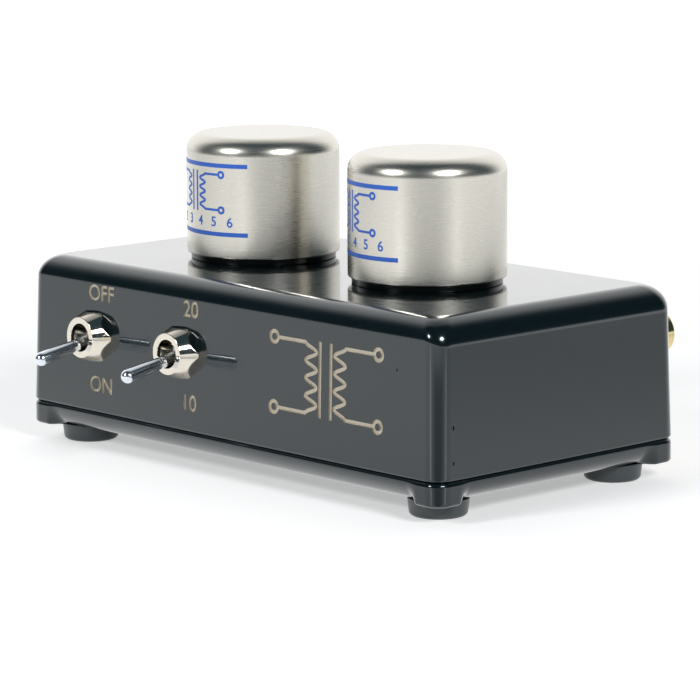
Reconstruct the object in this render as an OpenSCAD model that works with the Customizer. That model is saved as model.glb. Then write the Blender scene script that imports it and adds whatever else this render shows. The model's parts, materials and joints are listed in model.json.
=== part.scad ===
// Moving coil step-up transformer: a die-cast box on rubber feet that carries two
// shielding cans on top, two toggle switches in front and four phono jacks behind.
// +Z is up, the switches look along -Y, and the feet stand on Z = 0. Sizes are in mm.

/* [Box] */
// Length of the box at the lid seam
box_l = 112; // [108:0.5:130]
// Depth of the box at the lid seam
box_d = 60.8; // [58:0.2:80]
// Height of the box above the lid seam
box_h = 28; // [27:0.5:40]
// Thickness of the side walls
wall = 2; // [1.6:0.1:2.6]
// Thickness of the top wall
top_wall = 2.2; // [1.8:0.1:3]
// Casting draft of the walls in degrees
draft = 1.5; // [0.5:0.1:2]
// Radius of the upright corners
corner_r = 3.2; // [2:0.1:3.6]
// Radius of the edge round the top face
top_edge_r = 4; // [2.5:0.1:5]

/* [Lid] */
// Height of the lid at its corner lands
lid_h = 4.4; // [3.8:0.1:6]
// Radius of the round-over between the corner lands
lid_round_r = 4.8; // [3:0.1:5.5]
// Length of a corner land along the edge
land_l = 5.3; // [5:0.1:8]
// Length over which the round-over runs out into a land
land_runout = 3.2; // [1:0.1:4]
// Small radius on the rim of the lands
land_edge_r = 0.6; // [0.3:0.1:0.8]
// Radius of the lid's edge at the seam
seam_edge_r = 0.9; // [0.3:0.1:1.1]
// Height of the locating ribs inside the box
rib_h = 1.6; // [0.8:0.1:3]
// Thickness of the locating ribs
rib_t = 1.4; // [0.8:0.1:2]

/* [Lid screws and feet] */
// Inset of the screws from the lid's edges
screw_inset = 4.8; // [4.6:0.1:5]
// Diameter of the screw's thread
screw_d = 3.5; // [2.5:0.1:3.6]
// Diameter of the countersunk head
screw_head_d = 6.6; // [5:0.1:6.8]
// Length of a screw, head included
screw_l = 14; // [8:0.5:18]
// Length of the driver recess
driver_l = 4; // [3:0.1:4.6]
// Width of the driver recess
driver_w = 1; // [0.6:0.1:1.4]
// Depth of the driver recess
driver_depth = 1.2; // [0.6:0.1:1.6]
// Diameter of the cast post round a screw
post_d = 7; // [6:0.1:7.2]
// Inset of the feet from the lid's edges
foot_inset = 8.4; // [7:0.1:14]
// Height of a foot
foot_h = 3.2; // [2.5:0.1:8]
// Diameter of a foot against the lid
foot_top_d = 10.9; // [9:0.1:13]
// Diameter of a foot near the table
foot_bottom_d = 10.2; // [8:0.1:12.5]
// Radius on the lower rim of a foot
foot_edge_r = 0.7; // [0.3:0.1:1.2]

/* [Shielding cans] */
// Distance between the two cans
can_pitch = 44.4; // [42:0.2:48]
// Diameter of a can
can_d = 28.8; // [28:0.1:32]
// Height of a can
can_h = 22.4; // [22:0.1:32]
// Thickness of the can's sheet
can_wall = 0.8; // [0.5:0.05:1.2]
// Radius of the can's top edge
can_edge_r = 3.3; // [2:0.1:5]
// Thickness of the gasket under a can
gasket_t = 1.2; // [0.8:0.1:2]
// Inset of the gasket's edge from the can's wall
gasket_inset = 0.7; // [0.4:0.1:2.4]

/* [Transformers] */
// Thickness of the disc that closes the can
disc_t = 2; // [1.5:0.1:3]
// Diameter of the threaded neck
neck_d = 9.5; // [9:0.1:11]
// Diameter of the wire passage in the neck
neck_bore_d = 6.6; // [6.2:0.1:7]
// Length of the neck's free end past its nut
neck_spare = 1.2; // [0.5:0.1:3]
// Thickness of the neck's nut
neck_nut_t = 2.6; // [2:0.1:4]
// Width across the flats of the neck's nut
neck_nut_af = 14; // [12:0.5:16]
// Thickness of the neck's washer
neck_washer_t = 0.8; // [0.5:0.1:1.5]
// Diameter of the neck's washer
neck_washer_d = 16; // [14:0.5:18]
// Height of the two pads that lift the core off the disc
pad_h = 2.6; // [2:0.1:3]
// Width of a pad
pad_w = 2.8; // [2:0.1:3]
// Width of the core
core_w = 20; // [19:0.2:21]
// Height of the core
core_h = 16; // [15:0.2:16.4]
// Thickness of the core's stack
core_t = 6.4; // [5:0.2:7]
// Width of the core's middle limb
limb_w = 6; // [5:0.2:7]
// Width of the core's outer limbs and yokes
yoke_w = 3; // [2.5:0.1:3.4]
// Thickness of the bobbin's walls
bobbin_wall = 0.6; // [0.4:0.1:0.8]
// Depth that the bobbin's flanges stand out from its walls
flange_w = 2.9; // [2:0.1:3]
// Depth of the winding under the flange's rim
winding_inset = 0.4; // [0.2:0.1:1]

/* [Toggle switches] */
// Distance of the ground switch from the box's left end
ground_switch_inset = 19.4; // [18:0.2:22]
// Distance of the gain switch from the box's middle
gain_switch_x = -11.6; // [-14:0.2:-2]
// Height of the switches above the seam
switch_z = 14.4; // [13:0.2:16]
// Diameter of the threaded bushing
bushing_d = 6.35; // [6:0.05:6.6]
// Thickness of the bushing's wall at its two rims
bushing_rim = 0.5; // [0.4:0.05:0.7]
// Distance of the frame plate behind the panel's face
plate_depth = 4.6; // [4.4:0.1:5.4]
// Thickness of the frame plate
plate_t = 0.6; // [0.4:0.1:1]
// Height of the dress nut
dress_nut_h = 3.3; // [3:0.1:4]
// Width across the dress nut's flats
dress_nut_af = 8.8; // [8.6:0.1:10]
// Slope of the cone turned on the dress nut in degrees
dress_slope = 28; // [20:1:35]
// Diameter of the dress nut's front ring
dress_ring_d = 7.6; // [7.2:0.1:8.4]
// Diameter of the opening in the dress nut
dress_mouth_d = 5.2; // [5:0.1:5.4]
// Thickness of the lip round that opening
dress_lip_t = 0.7; // [0.4:0.1:0.9]
// Width across the flats of the back nut
back_nut_af = 8; // [7.6:0.1:10]
// Thickness of the back nut
back_nut_t = 1.8; // [1.2:0.1:2.2]
// Depth of the lever's pivot behind the panel's face
pivot_depth = 2.1; // [1.8:0.1:2.6]
// Diameter of the lever's pivot ball
ball_d = 3.8; // [3.4:0.1:4]
// Diameter of the lever's trunnions
trunnion_d = 1; // [0.8:0.05:1.2]
// Distance of the trunnions' ends under the bushing's thread
trunnion_inset = 0.3; // [0.2:0.05:0.6]
// Distance from the pivot to the middle of the lever's tip
lever_l = 14.7; // [12:0.1:18]
// Diameter of the lever's round tip
lever_tip_d = 2.6; // [2.2:0.1:3]
// Diameter of the lever where it leaves the bushing
lever_neck_d = 2.2; // [1.8:0.1:2.3]
// Length of the lever's thin stretch
lever_neck_l = 7; // [6:0.1:8]
// Length of the lever's inner arm
lever_arm_l = 8.4; // [8:0.1:8.6]
// Diameter of the cross bar on the inner arm
lever_bar_d = 1.4; // [1:0.1:1.6]
// Throw of the lever in degrees
lever_throw = 25; // [20:0.5:26]
// Height of the switch cases
case_h = 12.8; // [12.4:0.1:14]
// Width of the ground switch's case
ground_case_w = 7; // [6.4:0.1:9]
// Width of the gain switch's case
gain_case_w = 12.6; // [11.6:0.1:14]
// Depth of the cases behind their frame plates
case_depth = 9.2; // [9.1:0.1:11]
// Thickness of the case walls
case_wall = 0.9; // [0.7:0.1:1.1]
// Distance between the gain switch's two poles
pole_pitch = 5.4; // [5:0.1:5.8]
// Distance between the terminals of one pole
terminal_pitch = 4.7; // [4.5:0.1:4.8]
// Width of a terminal blade
terminal_w = 2; // [1.4:0.1:2.4]
// Thickness of a terminal blade
terminal_t = 0.8; // [0.5:0.1:1]
// Length of a terminal outside its case
terminal_l = 4.8; // [3:0.1:6]
// Distance of the rockers' pivots behind the levers' pivots
rocker_depth = 9.8; // [9.7:0.1:10]
// Thickness of a rocker
rocker_t = 0.5; // [0.4:0.05:0.6]
// Swing of a rocker in degrees
rocker_swing = 20; // [16:1:22]

/* [Phono jacks] */
// Distance of the outer jacks from the box's ends
outer_jack_inset = 15; // [14.6:0.2:16]
// Distance of the inner jacks from the box's middle
inner_jack_x = 20.5; // [18:0.2:24]
// Height of the jacks above the seam
jack_z = 16; // [14:0.2:17]
// Outer diameter of the jack's barrel
barrel_d = 8.3; // [8.2:0.05:8.6]
// Length of the barrel ahead of its flange
barrel_l = 8.8; // [7:0.1:9.5]
// Diameter of the jack's flange
jack_flange_d = 11.4; // [10:0.1:12]
// Thickness of the jack's flange
jack_flange_t = 1.7; // [1.2:0.1:2.5]
// Diameter of the jack's threaded neck
jack_neck_d = 7.9; // [7.6:0.1:8]
// Length of the jack's neck past its nut
jack_neck_spare = 2; // [0.5:0.1:4]
// Diameter of the jack's insulator
insulator_d = 6.8; // [6.2:0.1:6.9]
// Depth of the insulator's face behind the barrel's rim
insulator_recess = 0.4; // [0.2:0.1:1]
// Diameter of the socket for the plug's pin
socket_d = 3.3; // [3.25:0.05:3.4]
// Depth of that socket
socket_depth = 9; // [8:0.1:10]
// Outer diameter of the socket's tube
socket_tube_d = 4.2; // [4:0.1:4.6]
// Length of the socket's tube past the jack's neck
socket_spare = 1; // [0.5:0.1:2]
// Diameter of the socket's solder tail
tail_d = 2; // [1.6:0.1:2.4]
// Length of the solder tail
tail_l = 4; // [2:0.1:5]
// Thickness of the insulating washers
jack_washer_t = 0.8; // [0.5:0.1:1.2]
// Diameter of the insulating washers
jack_washer_d = 12.4; // [11.6:0.1:12.8]
// Thickness of the sleeve that lines the jack's hole
jack_sleeve_t = 0.8; // [0.5:0.1:1.2]
// Thickness of the solder tags
tag_t = 0.5; // [0.3:0.1:0.8]
// Diameter of the solder tag's ring
tag_d = 10.6; // [10:0.1:11]
// Distance from the jack's axis to the end of its tag
tag_reach = 9.6; // [9:0.1:10.4]
// Width of the tag's lug
tag_w = 2.6; // [2:0.1:3]
// Width across the flats of the jack's nut
jack_nut_af = 11; // [10.4:0.1:11.4]
// Thickness of the jack's nut
jack_nut_t = 2.4; // [1.8:0.1:3]

/* [Ground post] */
// Diameter of the ground post's stud
stud_d = 4; // [3.5:0.1:4.5]
// Length of the stud outside the panel
stud_out = 13; // [12.6:0.1:16]
// Diameter of the stud's flange
stud_flange_d = 9; // [8:0.1:11]
// Thickness of the stud's flange
stud_flange_t = 3; // [2:0.1:4]
// Diameter of the clamp washer
clamp_d = 8.6; // [8:0.1:10]
// Thickness of the clamp washer
clamp_t = 0.8; // [0.5:0.1:1.2]
// Diameter of the thumb nut
thumb_d = 9.6; // [8.6:0.1:12]
// Height of the thumb nut
thumb_h = 7.4; // [6:0.1:8]
// Number of flutes round the thumb nut
thumb_flutes = 24; // [16:1:32]
// Diameter of a flute
flute_d = 0.7; // [0.4:0.05:0.9]
// Width across the flats of the stud's lock nut
stud_nut_af = 7; // [6.6:0.1:9]
// Thickness of the stud's lock nut
stud_nut_t = 3; // [2:0.1:4]
// Length of the stud past its lock nut
stud_spare = 1.5; // [0.5:0.1:3]

/* [Wiring and clearances] */
// Diameter of the insulated wires
wire_d = 1.2; // [0.8:0.1:1.3]
// Distance between the leads where they leave a winding
lead_spread = 4.4; // [3:0.1:5.6]
// Straight run of a wire at its ends
wire_run = 3; // [2:0.1:3.5]
// Clearance between parts that are screwed or slid together
fit_gap = 0.05; // [0.03:0.01:0.1]
// Clearance round pieces that pass through a hole
hole_gap = 0.15; // [0.1:0.05:0.3]

/* [Hidden] */
$fn = 64;

black_paint = "#17181a";
nickel = "#b9b4aa";
chrome = "#d8dadc";
gold = "#d0a344";
rubber = "#2a2b2d";

// Heights
seam_z = foot_h + lid_h;
top_z = seam_z + box_h;
can_z = top_z + gasket_t;
disc_top_z = can_z + disc_t;
core_z = disc_top_z + pad_h;
neck_nut_z = top_z - top_wall - neck_washer_t - neck_nut_t;
neck_end_z = neck_nut_z - neck_spare;

// How far the levers reach in front of the seam's outline and the stud behind it.
// The box is shifted so that the whole object is centred on the Y axis.
rest_tilt = draft - lever_throw / 2;
pivot_reach = -switch_z * tan(draft) - pivot_depth * cos(draft);
lever_reach = pivot_reach + lever_l * cos(rest_tilt) + lever_tip_d / 2;
stud_reach = -jack_z * tan(draft) + stud_out * cos(draft) + stud_d / 2 * sin(draft);
box_y = (lever_reach - stud_reach) / 2;

// Points of a rounded rectangle at height z, counter-clockwise seen from above
corner_steps = 6;
function corner_centre(c, l, d, r) =
  [(c == 0 || c == 3 ? 1 : -1) * (l / 2 - r), (c < 2 ? 1 : -1) * (d / 2 - r)];
function corner_arc(c, l, d, r, inset) =
  [for (i = [0:corner_steps])
    let (a = 90 * (c + i / corner_steps))
    corner_centre(c, l, d, r) + (r - inset) * [cos(a), sin(a)]];
function rounded_ring(l, d, r, z) =
  [for (c = [0:3]) for (p = corner_arc(c, l, d, r, 0)) [p.x, p.y, z]];

// A box with drafted walls whose top edge is rounded: the rings climb the wall and then the edge
edge_steps = 8;
function drafted_rings(l, d, h, r, edge, from) =
  let (arc_z = h - edge, slope = tan(draft))
  let (side = (arc_z + edge * sin(draft)) * slope + edge * cos(draft))
  concat(
    [rounded_ring(l - 2 * from * slope, d - 2 * from * slope, r, from)],
    [for (i = [0:edge_steps])
      let (a = draft + (90 - draft) * i / edge_steps, inset = side - edge * cos(a))
      rounded_ring(l - 2 * inset, d - 2 * inset, r, arc_z + edge * sin(a))]);

// Skin over a stack of rings that have the same number of points, closed by a fan at each end
function middle(p) = [for (i = [0:len(p) - 1]) 1] * p / len(p);
module loft(rings) {
  n = len(rings[0]);
  last = len(rings) - 1;
  start = len(rings) * n;
  polyhedron(
    points = concat([for (ring = rings) each ring], [middle(rings[0]), middle(rings[last])]),
    faces = concat(
      [for (k = [0:n - 1]) [k, (k + 1) % n, start]],
      [for (k = [0:n - 1]) [last * n + (k + 1) % n, last * n + k, start + 1]],
      [for (i = [0:last - 1], k = [0:n - 1])
        let (a = i * n + k, b = i * n + (k + 1) % n)
        each [[a, a + n, b + n], [a, b + n, b]]]));
}

// Wires are tubes along straight runs that bend from the middle of one run to the middle of the next
wire_sides = 6;
wire_steps = 4;
steep = 0.8;
function bend(a, b, c, t) =
  (1 - t) * (1 - t) * (a + b) / 2 + 2 * t * (1 - t) * b + t * t * (b + c) / 2;
function smooth_path(p) =
  let (last = len(p) - 1)
  concat(
    [p[0]],
    [for (i = [1:last - 1], s = [0:wire_steps - 1]) bend(p[i - 1], p[i], p[i + 1], s / wire_steps)],
    [(p[last - 1] + p[last]) / 2, p[last]]);
function unit(v) = v / norm(v);
function wire_rings(p) =
  let (last = len(p) - 1)
  [for (i = [0:last])
    let (way = unit(p[min(i + 1, last)] - p[max(i - 1, 0)]))
    let (helper = abs(way.z) > steep ? [0, 1, 0] : [0, 0, 1])
    let (u = unit(cross(helper, way)), v = cross(way, u))
    [for (k = [0:wire_sides - 1])
      let (a = 360 * k / wire_sides)
      p[i] + wire_d / 2 * (cos(a) * u + sin(a) * v)]];
module wire(points) loft(wire_rings(smooth_path(points)));

// Places: children's Z axis points straight out of the drafted panel, and their Y axis up
function front_y(h) = box_y - box_d / 2 + h * tan(draft);
function back_y(h) = box_y + box_d / 2 - h * tan(draft);
module on_front(x, h) translate([x, front_y(h), seam_z + h]) rotate([90 - draft, 0, 0]) children();
module on_back(x, h) translate([x, back_y(h), seam_z + h]) rotate([90 - draft, 0, 180]) children();
function inward(up, depth) = depth * cos(draft) + up * sin(draft);
function upward(up, depth) = up * cos(draft) - depth * sin(draft);
function front_point(x, h, up, depth) = [x, front_y(h) + inward(up, depth), seam_z + h + upward(up, depth)];
function back_point(x, h, up, depth) = [x, back_y(h) - inward(up, depth), seam_z + h + upward(up, depth)];
module at_corners(inset)
  for (sx = [-1, 1], sy = [-1, 1])
    translate([sx * (box_l / 2 - inset), box_y + sy * (box_d / 2 - inset), 0]) children();
module at_can(side) translate([side * can_pitch / 2, box_y, 0]) children();
ground_switch_x = ground_switch_inset - box_l / 2;
outer_jack_x = box_l / 2 - outer_jack_inset;
jack_places = [-outer_jack_x, -inner_jack_x, inner_jack_x, outer_jack_x];

// Cuts run this far past the faces that they open
past = 1;
module hexagon(across_flats) rotate(30) circle(d = across_flats / cos(30), $fn = 6);
module ring(outer_d, inner_d, h)
  difference() {
    cylinder(d = outer_d, h = h);
    translate([0, 0, -past]) cylinder(d = inner_d, h = h + 2 * past);
  }
module hex_nut(across_flats, bore_d, h)
  difference() {
    linear_extrude(h) hexagon(across_flats);
    translate([0, 0, -past]) cylinder(d = bore_d, h = h + 2 * past);
  }

// Box
bushing_hole_d = bushing_d + 2 * hole_gap;
jack_bore_d = jack_neck_d + 2 * fit_gap;
jack_sleeve_d = jack_bore_d + 2 * jack_sleeve_t;
jack_hole_d = jack_sleeve_d + 2 * fit_gap;
stud_hole_d = stud_d + 2 * hole_gap;
neck_hole_d = neck_d + 2 * hole_gap;
least_r = 0.5;
cavity_edge_r = max(top_edge_r - wall, least_r);
cavity_corner_r = max(corner_r - wall, least_r);
module wall_hole(d) translate([0, 0, -2 * wall]) cylinder(d = d, h = 3 * wall);
module chassis_box() color(black_paint) difference() {
  translate([0, box_y, seam_z])
    loft(drafted_rings(box_l, box_d, box_h, corner_r, top_edge_r, 0));
  difference() {
    translate([0, box_y, seam_z])
      loft(drafted_rings(box_l - 2 * wall / cos(draft), box_d - 2 * wall / cos(draft),
        box_h - top_wall, cavity_corner_r, cavity_edge_r, -past));
    at_corners(screw_inset) translate([0, 0, seam_z]) cylinder(d = post_d, h = box_h);
  }
  at_corners(screw_inset)
    translate([0, 0, seam_z - past]) cylinder(d = screw_d + 2 * fit_gap, h = screw_l - lid_h + 2 * past);
  for (x = [ground_switch_x, gain_switch_x]) on_front(x, switch_z) wall_hole(bushing_hole_d);
  for (x = jack_places) on_back(x, jack_z) wall_hole(jack_hole_d);
  on_back(0, jack_z) wall_hole(stud_hole_d);
  for (side = [-1, 1])
    at_can(side) translate([0, 0, top_z - 2 * top_wall]) cylinder(d = neck_hole_d, h = 3 * top_wall);
}

// Lid: a plate whose lower edge is rounded over between full-height corner lands.
// The inset of the outline at height h blends the land's small edge with the big round-over.
land_steps = 4;
function round_inset(r, h) = h < r ? r - sqrt(r * r - (r - h) * (r - h)) : 0;
function smooth_step(t) = t * t * (3 - 2 * t);
function lid_inset(share, h) =
  (1 - share) * round_inset(land_edge_r, h) + share * round_inset(lid_round_r, h)
  + round_inset(seam_edge_r, lid_h - h);
function lid_edge(c, h) =
  let (length = (c % 2 == 0 ? box_l : box_d) - 2 * corner_r, a = 90 * (c + 1))
  let (start = corner_centre(c, box_l, box_d, corner_r))
  let (runout = [for (i = [0:land_steps]) i / land_steps])
  let (stops = [for (t = runout) [land_l - corner_r + land_runout * t, smooth_step(t)]])
  [for (s = concat(stops, [for (i = [land_steps:-1:0]) [length - stops[i][0], stops[i][1]]]))
    start + (corner_r - lid_inset(s[1], h)) * [cos(a), sin(a)] + s[0] * [-sin(a), cos(a)]];
function lid_ring(h) =
  [for (c = [0:3])
    for (p = concat(corner_arc(c, box_l, box_d, corner_r, lid_inset(0, h)), lid_edge(c, h)))
      [p.x, p.y, h]];
function lifted(ring, by) = [for (p = ring) p + [0, 0, by]];
round_levels = 7;
seam_levels = 3;
lid_levels = concat(
  [for (i = [0:round_levels]) (lid_h - seam_edge_r) * (1 - cos(90 * i / round_levels))],
  [for (i = [1:seam_levels]) lid_h - seam_edge_r * (1 - sin(90 * i / seam_levels))]);
screw_hole_d = screw_d + 2 * hole_gap;
rib_inset = wall + 2 * hole_gap;
rib_end = screw_inset + post_d / 2 + 2 * hole_gap;
module lid_plate() intersection() {
  loft(concat(
    [lifted(lid_ring(0), -past)],
    [for (h = lid_levels) lid_ring(h)],
    [lifted(lid_ring(lid_h), past)]));
  translate([-box_l / 2 - past, -box_d / 2 - past, 0]) cube([box_l + 2 * past, box_d + 2 * past, lid_h]);
}
module lid_rib(length, across)
  translate([-length / 2, across / 2 - rib_inset - rib_t, -past]) cube([length, rib_t, rib_h + past]);
module base_lid() color(black_paint) difference() {
  union() {
    translate([0, box_y, foot_h]) lid_plate();
    translate([0, box_y, seam_z]) for (turn = [0, 180]) rotate(turn) {
      lid_rib(box_l - 2 * rib_end, box_d);
      rotate(90) lid_rib(box_d - 2 * rib_end, box_l);
    }
  }
  at_corners(screw_inset) {
    translate([0, 0, foot_h - past]) cylinder(d = screw_hole_d, h = lid_h + 2 * past);
    translate([0, 0, foot_h - fit_gap])
      cylinder(d1 = screw_head_d + 4 * fit_gap, d2 = 0, h = screw_head_d / 2 + 2 * fit_gap);
  }
}

module lid_screws() color(chrome) at_corners(screw_inset) difference() {
  translate([0, 0, foot_h]) union() {
    cylinder(d1 = screw_head_d, d2 = 0, h = screw_head_d / 2);
    cylinder(d = screw_d, h = screw_l);
  }
  for (turn = [0, 90])
    translate([0, 0, foot_h]) rotate(turn)
      cube([driver_l, driver_w, 2 * driver_depth], center = true);
}

module rubber_feet() color(rubber) at_corners(foot_inset)
  rotate_extrude() intersection() {
    union() {
      polygon([[0, foot_edge_r], [foot_bottom_d / 2, foot_edge_r],
        [foot_top_d / 2, foot_h], [0, foot_h]]);
      square([foot_bottom_d / 2 - foot_edge_r, foot_h]);
      translate([foot_bottom_d / 2 - foot_edge_r, foot_edge_r]) circle(foot_edge_r);
    }
    square([foot_top_d, foot_h]);
  }

// Transformers
module can_profile(r, h, edge) {
  square([r, h - edge]);
  square([r - edge, h]);
  translate([r - edge, h - edge]) circle(edge);
}
module can(side) color(nickel) at_can(side) translate([0, 0, can_z])
  rotate_extrude() difference() {
    can_profile(can_d / 2, can_h, can_edge_r);
    translate([0, -past]) can_profile(can_d / 2 - can_wall, can_h - can_wall + past, can_edge_r - can_wall);
  }

module gasket(side) color(rubber) at_can(side) translate([0, 0, top_z])
  ring(can_d - 2 * gasket_inset, neck_d + 2 * hole_gap, gasket_t);

pad_x = core_w / 2 - pad_w / 2;
module base_disc(side) color("#8d8a83") at_can(side) difference() {
  union() {
    translate([0, 0, can_z]) cylinder(d = can_d - 2 * can_wall - 2 * fit_gap, h = disc_t);
    translate([0, 0, neck_end_z]) cylinder(d = neck_d, h = can_z - neck_end_z + disc_t / 2);
    for (x = [-pad_x, pad_x])
      translate([x - pad_w / 2, -core_t / 2, can_z + disc_t / 2])
        cube([pad_w, core_t, disc_t / 2 + pad_h]);
  }
  translate([0, 0, neck_end_z - past]) cylinder(d = neck_bore_d, h = disc_top_z - neck_end_z + 2 * past);
}

window_w = (core_w - limb_w) / 2 - yoke_w;
window_h = core_h - 2 * yoke_w;
module core(side) color("#77756f") at_can(side)
  translate([0, core_t / 2, core_z]) rotate([90, 0, 0]) linear_extrude(core_t) difference() {
    translate([-core_w / 2, 0]) square([core_w, core_h]);
    for (x = [-limb_w / 2 - window_w, limb_w / 2]) translate([x, yoke_w]) square([window_w, window_h]);
  }

// Hollow block that goes round the middle limb
module limb_block(inner, outer, h)
  linear_extrude(h) difference() {
    square([limb_w + 2 * outer, core_t + 2 * outer], center = true);
    square([limb_w + 2 * inner, core_t + 2 * inner], center = true);
  }
tube_outer = hole_gap + bobbin_wall;
bobbin_h = window_h - 2 * hole_gap;
bobbin_z = core_z + yoke_w + hole_gap;
module bobbin(side) color("#c9c2a6") at_can(side) translate([0, 0, bobbin_z]) union() {
  limb_block(hole_gap, tube_outer, bobbin_h);
  limb_block(hole_gap, tube_outer + flange_w, bobbin_wall);
  translate([0, 0, bobbin_h - bobbin_wall]) limb_block(hole_gap, tube_outer + flange_w, bobbin_wall);
}

winding_outer = tube_outer + flange_w - winding_inset;
module winding(side) color("#a8622c") at_can(side)
  translate([0, 0, bobbin_z + bobbin_wall + fit_gap])
    limb_block(tube_outer + fit_gap, winding_outer, bobbin_h - 2 * bobbin_wall - 2 * fit_gap);

module neck_washer(side) color(chrome) at_can(side)
  translate([0, 0, neck_nut_z + neck_nut_t]) ring(neck_washer_d, neck_d + 2 * hole_gap, neck_washer_t);

module neck_nut(side) color(chrome) at_can(side)
  translate([0, 0, neck_nut_z]) hex_nut(neck_nut_af, neck_d + 2 * fit_gap, neck_nut_t);

// Toggle switches. Z = 0 is the panel's face, and the lever rests with its tip down.
plate_z = -plate_depth - plate_t;
case_z = plate_z - case_depth;
bushing_tip_z = dress_nut_h - dress_lip_t - 2 * fit_gap;
waist_h = ball_d / 2;
waist_d = ball_d + 2 * fit_gap;
flare_d = bushing_d - 2 * bushing_rim;
module switch_bushing(x, case_w) color(chrome) on_front(x, switch_z) difference() {
  union() {
    translate([0, 0, -plate_depth]) cylinder(d = bushing_d, h = plate_depth + bushing_tip_z);
    translate([-case_w / 2, -case_h / 2, plate_z]) cube([case_w, case_h, plate_t]);
  }
  rotate_extrude() polygon([
    [0, plate_z - past], [flare_d / 2, plate_z - past], [flare_d / 2, plate_z],
    [waist_d / 2, -pivot_depth - waist_h / 2], [waist_d / 2, -pivot_depth + waist_h / 2],
    [flare_d / 2, bushing_tip_z], [flare_d / 2, bushing_tip_z + past], [0, bushing_tip_z + past]]);
  translate([0, 0, -pivot_depth]) rotate([0, 90, 0])
    cylinder(d = trunnion_d + 2 * fit_gap, h = bushing_d + 2 * past, center = true);
}

module dress_nut(x) color(chrome) on_front(x, switch_z) difference() {
  rotate(30) intersection() {
    linear_extrude(dress_nut_h) hexagon(dress_nut_af);
    cylinder(r1 = dress_ring_d / 2 + dress_nut_h * tan(dress_slope), r2 = dress_ring_d / 2, h = dress_nut_h);
  }
  translate([0, 0, -past]) cylinder(d = bushing_d + 2 * fit_gap, h = dress_nut_h - dress_lip_t + past);
  cylinder(d = dress_mouth_d, h = dress_nut_h + past);
}

module back_nut(x) color(chrome) on_front(x, switch_z)
  translate([0, 0, -wall - back_nut_t]) hex_nut(back_nut_af, bushing_d + 2 * fit_gap, back_nut_t);

trunnion_l = bushing_d - 2 * trunnion_inset;
module lever(x, bar_l) color(chrome) on_front(x, switch_z)
  translate([0, 0, -pivot_depth]) rotate([lever_throw / 2, 0, 0]) union() {
    rotate_extrude() intersection() {
      union() {
        circle(d = ball_d);
        translate([0, -lever_arm_l]) square([lever_neck_d / 2, lever_arm_l + lever_neck_l]);
        polygon([[0, lever_neck_l], [lever_neck_d / 2, lever_neck_l],
          [lever_tip_d / 2, lever_l], [0, lever_l]]);
        translate([0, lever_l]) circle(d = lever_tip_d);
      }
      translate([0, -lever_arm_l]) square([lever_l, lever_arm_l + 2 * lever_l]);
    }
    rotate([0, 90, 0]) cylinder(d = trunnion_d, h = trunnion_l, center = true);
    translate([0, 0, -lever_arm_l]) rotate([0, 90, 0])
      cylinder(d = lever_bar_d, h = bar_l, center = true);
  }

// Rockers and terminals: the middle blade carries the rocker on its rounded tip,
// and the rocker's lower end lies just above the blade that it switches to
rocker_z = -pivot_depth - rocker_depth;
rocker_half = terminal_pitch + terminal_t / 2;
rocker_gap = 2 * fit_gap;
tip_z = rocker_z - rocker_t / 2 - rocker_gap;
contact_z = rocker_z - rocker_half * sin(rocker_swing / 2) - rocker_t / 2 - rocker_gap;
terminal_end_z = case_z - terminal_l;
one_pole = [0];
two_poles = [-pole_pitch / 2, pole_pitch / 2];
module rockers(x, poles) color(gold) on_front(x, switch_z)
  for (pole = poles)
    translate([pole, 0, rocker_z]) rotate([-rocker_swing / 2, 0, 0])
      cube([terminal_w, 2 * rocker_half, rocker_t], center = true);

module blade(top_z) translate([-terminal_w / 2, -terminal_t / 2, terminal_end_z])
  cube([terminal_w, terminal_t, top_z - terminal_end_z]);
module terminals(x, poles) color("#cfcac0") on_front(x, switch_z)
  for (pole = poles) translate([pole, 0, 0]) {
    for (up = [-terminal_pitch, terminal_pitch]) translate([0, up, 0]) blade(contact_z);
    blade(tip_z - terminal_t / 2);
    translate([0, 0, tip_z - terminal_t / 2]) rotate([0, 90, 0])
      cylinder(d = terminal_t, h = terminal_w, center = true);
  }

module switch_case(x, case_w, poles) color("#1d3f7a") on_front(x, switch_z) difference() {
  translate([-case_w / 2, -case_h / 2, case_z]) cube([case_w, case_h, case_depth]);
  translate([-case_w / 2 + case_wall, -case_h / 2 + case_wall, case_z + case_wall])
    cube([case_w - 2 * case_wall, case_h - 2 * case_wall, case_depth]);
  for (pole = poles, up = [-terminal_pitch, 0, terminal_pitch])
    translate([pole - terminal_w / 2 - fit_gap, up - terminal_t / 2 - fit_gap, case_z - past])
      cube([terminal_w + 2 * fit_gap, terminal_t + 2 * fit_gap, case_wall + 2 * past]);
}

ground_bar_l = terminal_w;
gain_bar_l = pole_pitch + terminal_w;

// Phono jacks. Z = 0 is the panel's face, and the plug leaves along +Z.
barrel_end_z = jack_washer_t + jack_flange_t + barrel_l;
jack_tag_z = -wall - jack_washer_t - tag_t;
jack_nut_z = jack_tag_z - jack_nut_t;
jack_neck_end_z = jack_nut_z - jack_neck_spare;
socket_end_z = jack_neck_end_z - socket_spare;
insulator_front_z = barrel_end_z - insulator_recess;
module jack_shell(x) color(gold) on_back(x, jack_z) difference() {
  union() {
    translate([0, 0, jack_neck_end_z])
      cylinder(d = jack_neck_d, h = jack_washer_t + jack_flange_t / 2 - jack_neck_end_z);
    translate([0, 0, jack_washer_t]) cylinder(d = jack_flange_d, h = jack_flange_t);
    translate([0, 0, jack_washer_t]) cylinder(d = barrel_d, h = barrel_end_z - jack_washer_t);
  }
  translate([0, 0, jack_neck_end_z - past])
    cylinder(d = insulator_d + 2 * fit_gap, h = barrel_end_z - jack_neck_end_z + 2 * past);
}

module jack_insulator(x) color("#ecebe6") on_back(x, jack_z)
  translate([0, 0, jack_neck_end_z])
    ring(insulator_d, socket_tube_d + 2 * fit_gap, insulator_front_z - jack_neck_end_z);

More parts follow.
